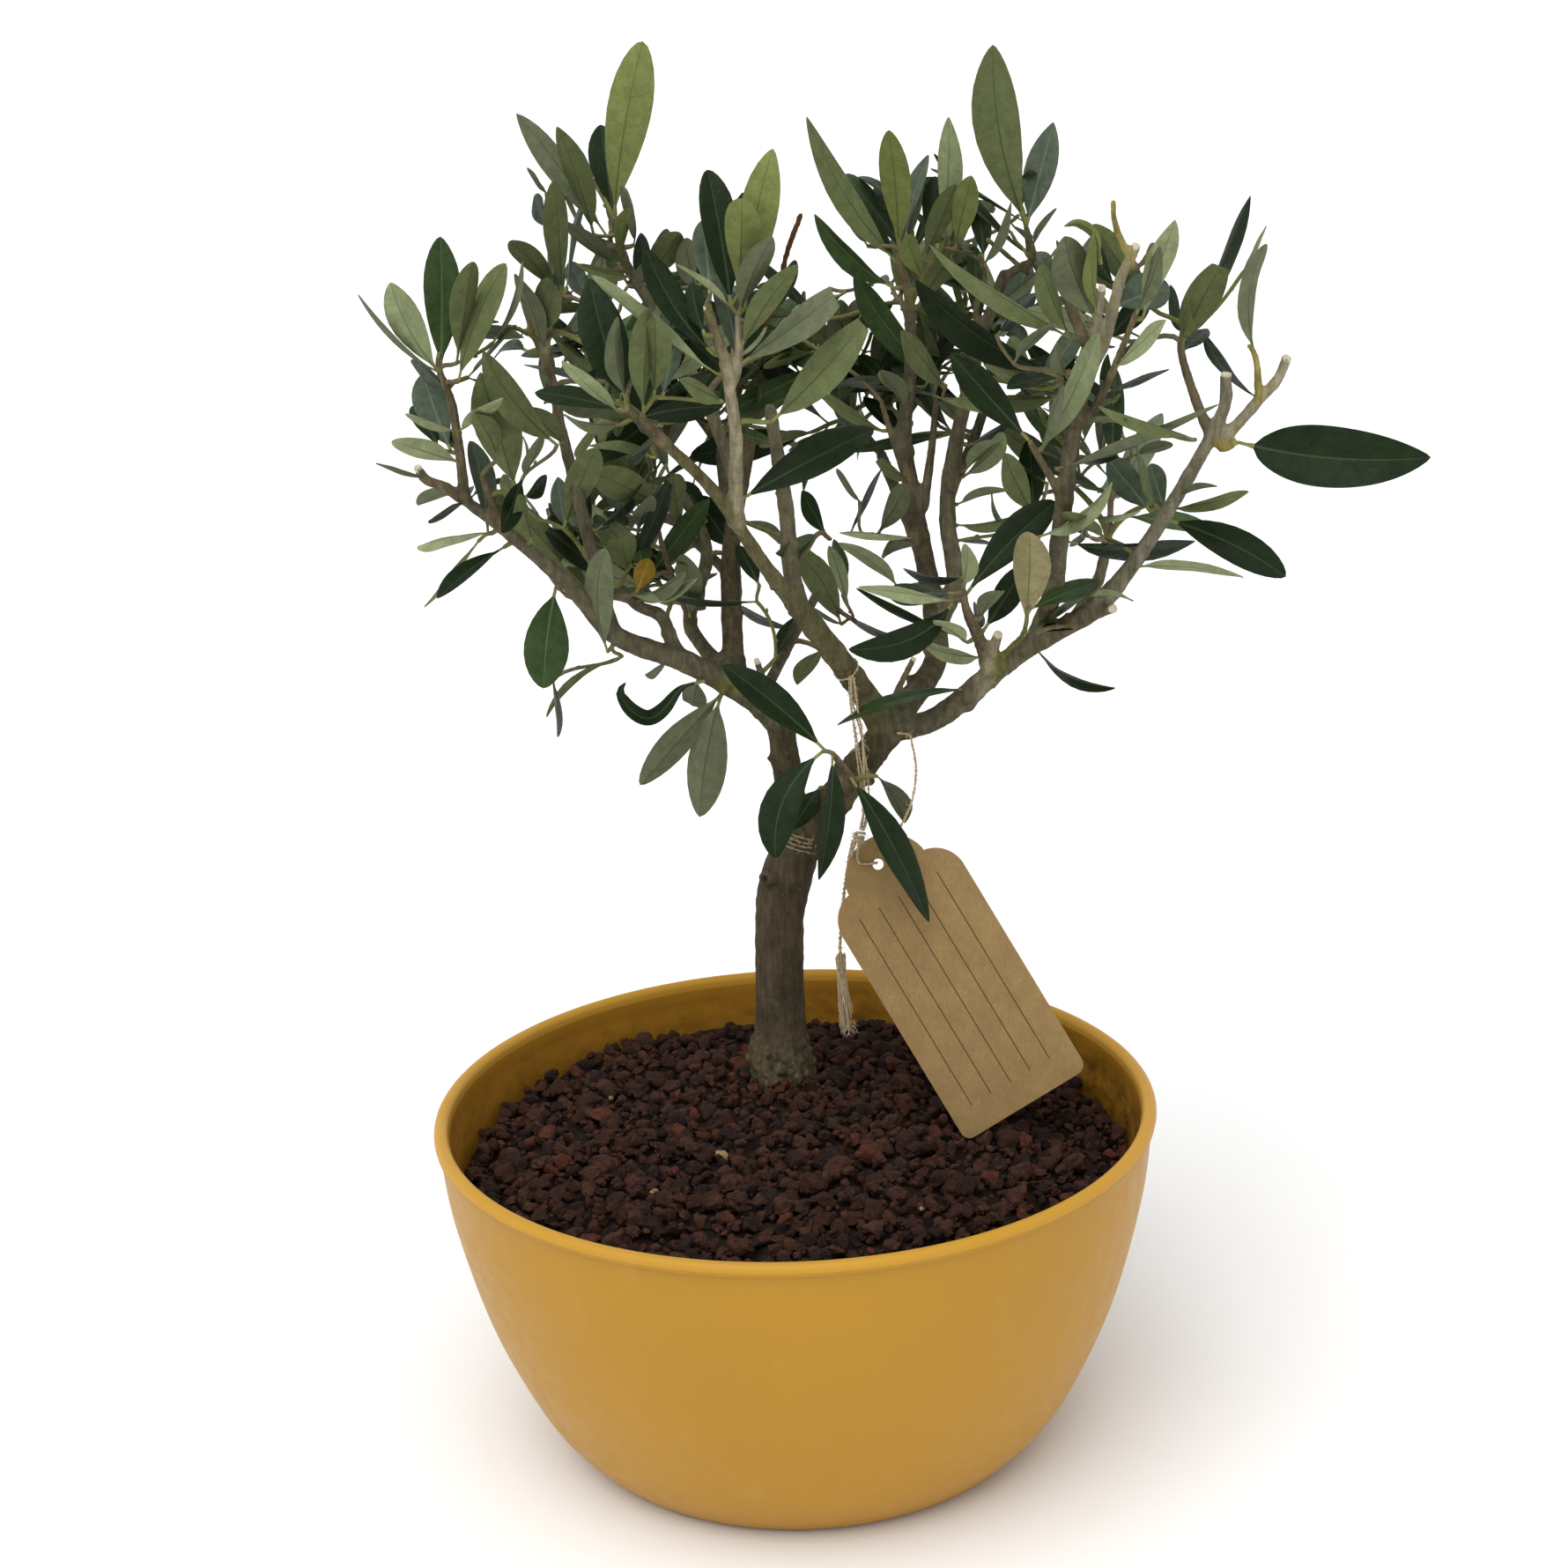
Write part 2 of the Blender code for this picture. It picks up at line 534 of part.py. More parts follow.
def build_mass(name):
    """One uneven closed mass, with lobes out to its furthest leaves."""
    c, half, tips = mass_shape(name)
    seed = Vector((sum(map(ord, name)) % 97, 3.1, 7.7))
    bm = bmesh.new()
    if name in SMALL_MASSES:
        bmesh.ops.create_icosphere(bm, subdivisions=2, radius=1.0)
    else:
        bmesh.ops.create_uvsphere(bm, u_segments=MASS_SIDES, v_segments=MASS_RINGS, radius=1.0)
    dirs = {v: v.co.normalized() for v in bm.verts}
    tip_dirs = []
    for t in tips:
        u = t - c
        length = u.length
        u.normalize()
        v = max(dirs, key=lambda w: dirs[w].dot(u))
        dirs[v] = u
        tip_dirs.append((u, length))
    planes = clip_planes(name)
    for v, d in dirs.items():
        r = body_radius(d, half) * (1 + UNEVEN * noise.noise(d * 2.2 + seed) * 2)
        for u, length in tip_dirs:
            angle = math.acos(max(-1.0, min(1.0, d.dot(u))))
            w = math.exp(-(angle / LOBE_WIDTH) ** 2)
            base = body_radius(u, half)
            r = max(r, r + (length - max(base, r)) * w) if length > r else r
        for n, m in planes:
            k = d.dot(n)
            if k > 1e-6 and r * k > m:
                r = m / k
        v.co = d * r * MM
    mesh = bpy.data.meshes.new(name)
    bmesh.ops.recalc_face_normals(bm, faces=bm.faces)
    bm.to_mesh(mesh)
    bm.free()
    obj = add(name, mesh, "leaf", c)
    reach = max([mean_size(half) * 2] + [length for _, length in tip_dirs])
    for limb, (pts, radii) in lines.items():
        close = False
        for p, r in zip(pts, radii):
            q = p - c
            dist = q.length
            if dist < reach + r:
                close = True
                break
        if close:
            if limb not in shapes:
                shapes[limb] = tube(limb + "_cutter", *source[limb], None, source_sides[limb], grow=GAP, collection=CUTTERS)
            if touches(obj, shapes[limb]):
                cut(obj, [shapes[limb]])
    smooth(obj.data, 180)
    return obj


def touches(obj, other):
    """Whether two meshes' surfaces cross, or one holds points of the other."""
    from mathutils.bvhtree import BVHTree
    bpy.context.view_layer.update()

    def tree(o):
        m = o.matrix_world
        return BVHTree.FromPolygons([m @ v.co for v in o.data.vertices], [tuple(p.vertices) for p in o.data.polygons])

    return bool(tree(obj).overlap(tree(other)))


# ---- tag -----------------------------------------------------------------
def tag_outline():
    """Card outline: square foot, round shoulders and one round middle lobe."""
    w = TAG_W
    lobe_half = math.sqrt(TAG_LOBE_R ** 2 - (87.0 - TAG_LOBE_Y) ** 2)
    start = math.degrees(math.asin((87.0 - TAG_LOBE_Y) / TAG_LOBE_R))
    pts = arc(3.0, 3.0, 3.0, 180, 270, 3)
    pts += arc(w - 3.5, 3.5, 3.5, 270, 360, 3)
    pts += arc(w - TAG_EAR_R, TAG_SIDE, TAG_EAR_R, 0, 80, 5)
    pts += arc(w / 2, TAG_LOBE_Y, TAG_LOBE_R, start, 180 - start, 10)
    pts += arc(TAG_EAR_R, TAG_SIDE, TAG_EAR_R, 100, 180, 5)
    return pts


def build_tag():
    curve = bpy.data.curves.new("tag", "CURVE")
    curve.dimensions = "2D"
    curve.fill_mode = "BOTH"
    curve.extrude = TAG_THICK / 2 * MM
    hx, hy, hr = TAG_HOLE
    for pts in (tag_outline(), arc(hx, hy, hr, 0, -330, 11)):
        sp = curve.splines.new("POLY")
        sp.points.add(len(pts) - 1)
        for p, (x, y) in zip(sp.points, pts):
            p.co = (x * MM, y * MM, 0, 1)
        sp.use_cyclic_u = True
    flat = add("tag_outline", curve, "card", (0, 0, 0), CUTTERS)
    mesh = evaluated_mesh(flat)
    bpy.data.objects.remove(flat, do_unlink=True)
    weld(mesh, 1e-6)
    mesh.name = "tag"
    tag = bpy.data.objects.new("tag", mesh)
    PARTS.objects.link(tag)
    tag.parent = root
    tag.location = Vector(TAG_CORNER) * MM
    tag.rotation_mode = "ZYX"
    tag.rotation_euler = (math.radians(TAG_LEAN), 0.0, math.radians(TAG_SPIN))
    return tag


build_pot()
build_grit()
for limb_name, (_, dia0, dia1) in LIMBS.items():
    build_limb(limb_name, limb_points(limb_name), dia0, dia1, step=8.0 if limb_name == "trunk" else LIMB_STEP, sides=3 if limb_name == "trunk" else 2)
for twine_name, (_, dia0, dia1) in TWINE.items():
    build_limb(twine_name, limb_points(twine_name), dia0, dia1, "jute", step=11.0)
for mass_name in MASSES:
    build_mass(mass_name)
build_tag()
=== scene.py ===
"""Looks of the olive bonsai: leaves, twigs, bark, pot, grit, tag and twine."""
import math
import random

import bpy
import numpy as np
from mathutils import Matrix, Vector, kdtree, noise


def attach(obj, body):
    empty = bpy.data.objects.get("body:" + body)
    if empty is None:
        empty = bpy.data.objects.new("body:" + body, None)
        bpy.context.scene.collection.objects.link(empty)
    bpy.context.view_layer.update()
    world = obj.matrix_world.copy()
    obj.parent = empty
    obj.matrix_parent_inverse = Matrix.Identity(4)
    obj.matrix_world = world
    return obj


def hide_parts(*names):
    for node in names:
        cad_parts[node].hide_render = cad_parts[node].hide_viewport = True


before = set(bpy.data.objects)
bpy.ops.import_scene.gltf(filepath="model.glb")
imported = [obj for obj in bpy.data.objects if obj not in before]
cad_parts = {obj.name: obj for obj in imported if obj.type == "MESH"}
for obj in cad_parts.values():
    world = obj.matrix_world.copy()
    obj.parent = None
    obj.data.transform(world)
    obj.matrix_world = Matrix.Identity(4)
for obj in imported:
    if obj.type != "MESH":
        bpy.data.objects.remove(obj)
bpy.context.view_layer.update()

MM = 0.001
NODES = list(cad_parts)
UP = np.array((0.0, 0.0, 1.0))

# ---- sizes, millimetres --------------------------------------------------
RIM_R, POT_H, FOOT_R, WALL, FLOOR, LIP_W, LIP_H = 115.0, 112.0, 70.0, 2.6, 3.0, 4.6, 3.8
WALL_LINE = ((3.0, 76.0), (9.0, 81.8), (22.0, 90.2), (50.0, 102.1), (84.0, 110.8), (POT_H - LIP_H, 113.7))
GRIT_PEAK, GRIT_DROP, GRIT_CENTRE = 104.0, 15.0, (-2.0, 30.0)
TRUNK_FOOT, TRUNK_CUT, TRUNK_FLARE, FLARE_RUN = (-4.0, 42.0), 104.5, 5.4, 9.0
TAG_W, TAG_SIDE, TAG_THICK, TAG_EAR_R, TAG_LOBE_R, TAG_LOBE_Y = 45.0, 76.0, 0.6, 10.5, 14.2, 84.2
TAG_HOLE, TAG_CORNER, TAG_LEAN, TAG_SPIN = (21.6, 89.9, 1.75), (54.0, -11.0, 99.8), 72.3, 28.8

# ---- front view: (across, down, depth), as the frame is laid out ----------
VIEW_FAR, VIEW_RISE, VIEW_DIP, VIEW_TURN, VIEW_ROLL = 920.0, 24.0, 17.704, 0.054, 2.319
VIEW_SCALE, VIEW_MIDDLE = 3244.4, 890.0


def view_axes():
    dip, turn, roll = (math.radians(a) for a in (VIEW_DIP, VIEW_TURN, VIEW_ROLL))
    ahead = np.array((math.sin(turn) * math.cos(dip), math.cos(turn) * math.cos(dip), -math.sin(dip)))
    level = np.array((math.cos(turn), -math.sin(turn), 0.0))
    above = np.cross(level, ahead)
    return ahead, level * math.cos(roll) - above * math.sin(roll), level * math.sin(roll) + above * math.cos(roll)


AHEAD, ACROSS, UPWARD = view_axes()
EYE = np.array((0.0, -VIEW_FAR * math.cos(math.radians(VIEW_RISE)), VIEW_FAR * math.sin(math.radians(VIEW_RISE)) + POT_H))


def place(across, down, depth):
    """The point in millimetres at a place on the front view."""
    ray = ACROSS * ((across - VIEW_MIDDLE) / VIEW_SCALE) - UPWARD * ((down - VIEW_MIDDLE) / VIEW_SCALE) + AHEAD
    return EYE + ray * ((depth - EYE[1]) / ray[1])


def seen_at(p):
    """Where points in millimetres stand on the front view: across, down."""
    q = np.asarray(p) - EYE
    far = q @ AHEAD
    return np.stack((VIEW_MIDDLE + VIEW_SCALE * (q @ ACROSS) / far, VIEW_MIDDLE - VIEW_SCALE * (q @ UPWARD) / far), -1)


def unit_size(p):
    """Millimetres to one unit of the front view, at the distance of a point."""
    return float((p - EYE) @ AHEAD) / VIEW_SCALE


def unit(v):
    v = np.asarray(v, float)
    return v / max(1e-9, float(np.linalg.norm(v)))


# ---- limbs: (places the axis passes through, diameter at base, at tip, tone) ----
LIMBS = {
    "trunk": (((886, 1190, 42), (886, 1146, 42), (885, 1099, 41), (886, 1029, 40), (898, 978, 39), (910, 942, 38)), 16.0, 15.6, "trunk"),
    "left_stem": (((908, 962, 38), (896, 895, 37), (885, 808, 36)), 9.4, 8.4, "stem"),
    "right_stem": (((913, 962, 38), (948, 908, 37), (1010, 826, 35)), 11.4, 10.0, "stem"),
    "left_bough": (((887, 818, 36), (850, 790, 36), (780, 752, 31), (700, 722, 24), (650, 668, 17), (580, 608, 10), (520, 562, 5)), 8.2, 3.4, "bough"),
    "far_left_shoot": (((528, 568, 6), (522, 515, 2), (515, 468, 0)), 3.2, 2.6, "tan"),
    "left_upright_bough": (((692, 712, 24), (680, 655, 24), (666, 603, 26), (634, 475, 29)), 4.8, 3.2, "bough"),
    "middle_upright_bough": (((835, 776, 35), (832, 730, 43), (830, 620, 57), (850, 502, 66)), 7.2, 4.6, "stem"),
    "left_rear_bough": (((826, 766, 36), (795, 730, 46), (783, 700, 54), (802, 637, 66), (793, 595, 70), (770, 555, 73)), 4.8, 3.6, "bough"),
    "top_left_bough": (((838, 562, 62), (812, 480, 60), (775, 405, 56), (710, 300, 49)), 4.4, 3.2, "bough"),
    "front_bough": (((1002, 820, 34), (965, 765, 26), (905, 688, 7), (868, 642, -4), (812, 560, -20), (755, 503, -31)), 8.4, 4.4, "olive"),
    "front_shoot": (((836, 596, -13), (835, 540, -19), (835, 491, -24), (822, 402, -32)), 4.6, 3.0, "pale"),
    "centre_upright_bough": (((908, 696, 8), (897, 640, 13), (892, 575, 19), (874, 463, 27)), 5.6, 3.8, "bough"),
    "thin_middle_bough": (((862, 797, 37), (880, 762, 46), (903, 718, 57), (940, 652, 76)), 3.8, 2.8, "bough"),
    "right_bough_low": (((1012, 826, 35), (1065, 814, 30), (1150, 746, 19), (1240, 694, 11)), 7.4, 6.0, "bough"),
    "right_bough_high": (((1242, 693, 11), (1275, 655, 9), (1321, 588, 8), (1385, 475, 11), (1392, 425, 12)), 5.9, 4.0, "grey"),
    "right_upright_bough": (((1176, 730, 17), (1196, 668, 10), (1203, 610, 4), (1222, 470, -8), (1243, 402, -12)), 6.2, 4.4, "bough"),
    "right_rear_bough": (((1012, 815, 36), (1036, 791, 46), (1062, 750, 57), (1061, 700, 68), (1043, 600, 82), (1028, 520, 87)), 8.4, 5.2, "stem"),
    "right_rear_top_bough": (((1028, 517, 87), (1026, 490, 86), (1034, 410, 80), (1032, 330, 74)), 5.1, 3.4, "bough"),
    "right_rear_upright": (((1061, 714, 66), (1084, 660, 72), (1076, 595, 77), (1080, 528, 80), (1110, 400, 74), (1140, 310, 64)), 6.2, 3.2, "bough"),
    "right_front_shoot": (((1124, 776, 23), (1115, 735, 15), (1102, 703, 6)), 4.4, 3.4, "tan"),
    "left_back_bough": (((832, 742, 41), (832, 700, 60), (833, 645, 80), (818, 515, 107)), 5.6, 3.6, "bough"),
    "left_back_low_bough": (((831, 655, 76), (800, 625, 88), (768, 595, 94)), 3.6, 2.8, "bough"),
    "centre_back_bough": (((1059, 738, 60), (1055, 680, 82), (1042, 620, 99), (1000, 515, 116)), 5.4, 3.6, "bough"),
    "right_back_bough": (((1095, 798, 27), (1135, 762, 52), (1175, 732, 74), (1215, 706, 92), (1232, 684, 99)), 5.4, 4.2, "bough"),
    "right_back_upright": (((1233, 682, 99.5), (1247, 658, 104), (1258, 610, 108)), 4.1, 3.4, "bough"),
    "back_top_bough": (((1077, 560, 78), (1105, 500, 92), (1128, 430, 104)), 4.0, 2.8, "bough"),
}
# shorter wood that carries on from the limbs
SHOOTS = {
    "a_top": (((516, 474, 0), (510, 448, 0), (500, 424, -1), (497, 408, -1)), 2.7, 1.7, "tan"),
    "a_end": (((524, 566, 5), (503, 552, 4), (484, 545, 4), (474, 531, 3)), 3.4, 2.6, "tan"),
    "a_side": (((572, 600, 9), (561, 578, 7), (547, 540, 5)), 2.8, 2.0, "tan"),
    "b_top": (((635, 482, 29), (629, 440, 29), (619, 411, 29), (606, 376, 29), (594, 342, 30)), 3.2, 2.2, "tan"),
    "b_twig": (((608, 384, 29), (590, 374, 27), (573, 370, 25)), 1.5, 1.0, "green"),
    "b_pale": (((618, 408, 29), (622, 378, 27), (626, 350, 25), (637, 337, 24)), 2.6, 1.9, "pale"),
    "c_top": (((712, 306, 49), (704, 278, 48), (697, 250, 47)), 3.2, 2.0, "tan"),
    "d_top": (((758, 506, -31), (735, 486, -34), (713, 467, -36)), 4.2, 2.2, "tan"),
    "e_left": (((823, 408, -31), (811, 376, -33), (803, 349, -35)), 3.2, 2.6, "tan"),
    "e_bud": (((804, 356, -35), (806, 346, -37)), 2.2, 1.4, "green"),
    "e_mid": (((829, 440, -29), (838, 414, -30), (838, 358, -32)), 3.0, 1.8, "pale"),
    "e_dry": (((868, 372, -26), (884, 330, -25), (893, 288, -25), (909, 244, -26)), 1.4, 0.7, "dry"),
    "f_top": (((1032, 336, 74), (1027, 318, 72), (1020, 300, 70), (1021, 284, 70)), 3.3, 1.8, "tan"),
    "f_side": (((1031, 348, 75), (1048, 318, 70), (1062, 290, 66), (1078, 268, 64)), 2.2, 1.2, "green"),
    "g_top": (((1138, 316, 65), (1158, 303, 62), (1173, 293, 59), (1165, 258, 56)), 3.0, 1.8, "tan"),
    "g_thin": (((1168, 312, 60), (1146, 292, 58), (1121, 272, 56)), 1.1, 0.7, "tan"),
    "g_stub": (((1112, 395, 73), (1108, 350, 68), (1118, 318, 62), (1112, 290, 58)), 2.4, 1.5, "tan"),
    "h_top": (((1206, 574, 1), (1196, 548, -3), (1182, 524, -6), (1169, 501, -8)), 2.8, 1.9, "tan"),
    "i_top": (((1242, 408, -12), (1256, 381, -13), (1272, 317, -14), (1290, 279, -15)), 4.6, 3.4, "pale"),
    "i_stub": (((1243, 396, -12), (1246, 360, -15), (1251, 326, -17)), 3.4, 2.8, "pale"),
    "i_tan": (((1241, 412, -11), (1232, 388, -14), (1218, 356, -17), (1209, 331, -19)), 3.4, 2.9, "tan"),
    "i_yellow": (((1284, 296, -15), (1272, 272, -16), (1265, 250, -17), (1264, 229, -18)), 2.6, 1.3, "yellow"),
    "i_twig": (((1288, 306, -15), (1299, 296, -13), (1309, 276, -12)), 1.8, 1.2, "tan"),
    "i_side": (((1232, 478, -8), (1246, 458, -14), (1268, 410, -22), (1291, 352, -27)), 2.9, 1.7, "tan"),
    "i_low": (((1218, 520, -4), (1208, 470, 2), (1205, 440, 8), (1202, 400, 12)), 2.6, 1.6, "tan"),
    "j_top": (((1374, 494, 11), (1356, 450, 12), (1341, 400, 12), (1344, 372, 12)), 3.4, 2.0, "tan"),
    "j_pale": (((1386, 500, 11), (1408, 478, 10), (1430, 453, 9), (1450, 431, 9), (1461, 406, 8)), 4.0, 3.2, "pale"),
    "j_green": (((1429, 453, 9), (1428, 428, 7), (1425, 404, 6), (1418, 392, 6)), 2.6, 1.6, "yellow"),
    "k_stalk": (((1378, 498, 11), (1386, 510, 9), (1396, 508, 9), (1404, 502, 11)), 1.9, 1.6, "yellow"),
    "m_top": (((1103, 708, 7), (1096, 688, 4), (1093, 668, 2)), 3.3, 1.9, "tan"),
    "m_stub": (((1116, 784, 24), (1124, 750, 16), (1133, 720, 10)), 3.6, 3.0, "pale"),
    "m_side": (((1124, 764, 20), (1144, 738, 10), (1160, 722, 2), (1166, 704, -4)), 2.0, 1.3, "green"),
    "n_side": (((898, 648, 13), (915, 625, 22), (930, 605, 32), (942, 612, 42)), 2.2, 1.3, "tan"),
    "n_low": (((933, 664, 72), (950, 690, 76), (972, 706, 82)), 1.8, 1.2, "tan"),
    "n_rear": (((1044, 612, 81), (1020, 612, 78), (1000, 608, 74), (978, 606, 70)), 2.2, 1.2, "tan"),
    "f_low": (((1040, 572, 84), (1016, 505, 86), (1000, 455, 88)), 3.2, 1.8, "tan"),
    "f_mid": (((1048, 580, 82), (1058, 505, 86), (1063, 448, 88)), 3.4, 1.8, "bough"),
    "g_low": (((1084, 548, 79), (1090, 500, 84), (1092, 445, 88)), 2.8, 1.6, "tan"),
    "n_stub": (((1002, 824, 36), (1018, 786, 42), (1037, 748, 48)), 2.4, 1.9, "tan"),
    "o_twig": (((955, 900, 36), (968, 893, 24), (964, 880, 10), (945, 855, -2)), 3.4, 1.9, "tan"),
    "p_twig": (((780, 756, 32), (764, 731, 33), (751, 700, 34), (725, 688, 34), (704, 668, 33)), 5.0, 3.0, "bough"),
    "p_thin": (((752, 722, 34), (760, 690, 38), (772, 660, 42), (776, 634, 44)), 1.6, 1.0, "green"),
    "p_up": (((783, 700, 54), (765, 660, 54), (752, 620, 52), (744, 585, 50)), 2.6, 1.4, "tan"),
    "p_hang": (((832, 777, 34), (822, 784, 26), (815, 795, 20)), 2.0, 1.5, "green"),
    "q_left": (((672, 640, 25), (652, 612, 30), (640, 600, 34)), 2.0, 1.2, "green"),
    "fork_stub": (((876, 792, 35), (866, 770, 30), (859, 750, 26)), 2.6, 2.0, "bough"),
    "r_stub": (((1236, 700, 11), (1252, 694, 6), (1264, 691, 2)), 3.4, 2.8, "bough"),
    "l_low": (((1216, 710, 12), (1196, 712, 4), (1176, 718, 0)), 1.8, 1.2, "tan"),
}
CUT_ENDS = ("a_end", "b_top", "e_left", "i_top", "i_stub", "i_tan", "j_pale", "m_stub", "n_stub", "fork_stub", "r_stub", "right_bough_high")
TONES = {"trunk": (84, 74, 56), "stem": (80, 73, 53), "bough": (102, 96, 75), "grey": (126, 120, 100), "olive": (100, 94, 64), "pale": (150, 142, 114), "tan": (110, 99, 74),
         "green": (112, 112, 62), "yellow": (150, 138, 78), "dry": (86, 58, 34)}

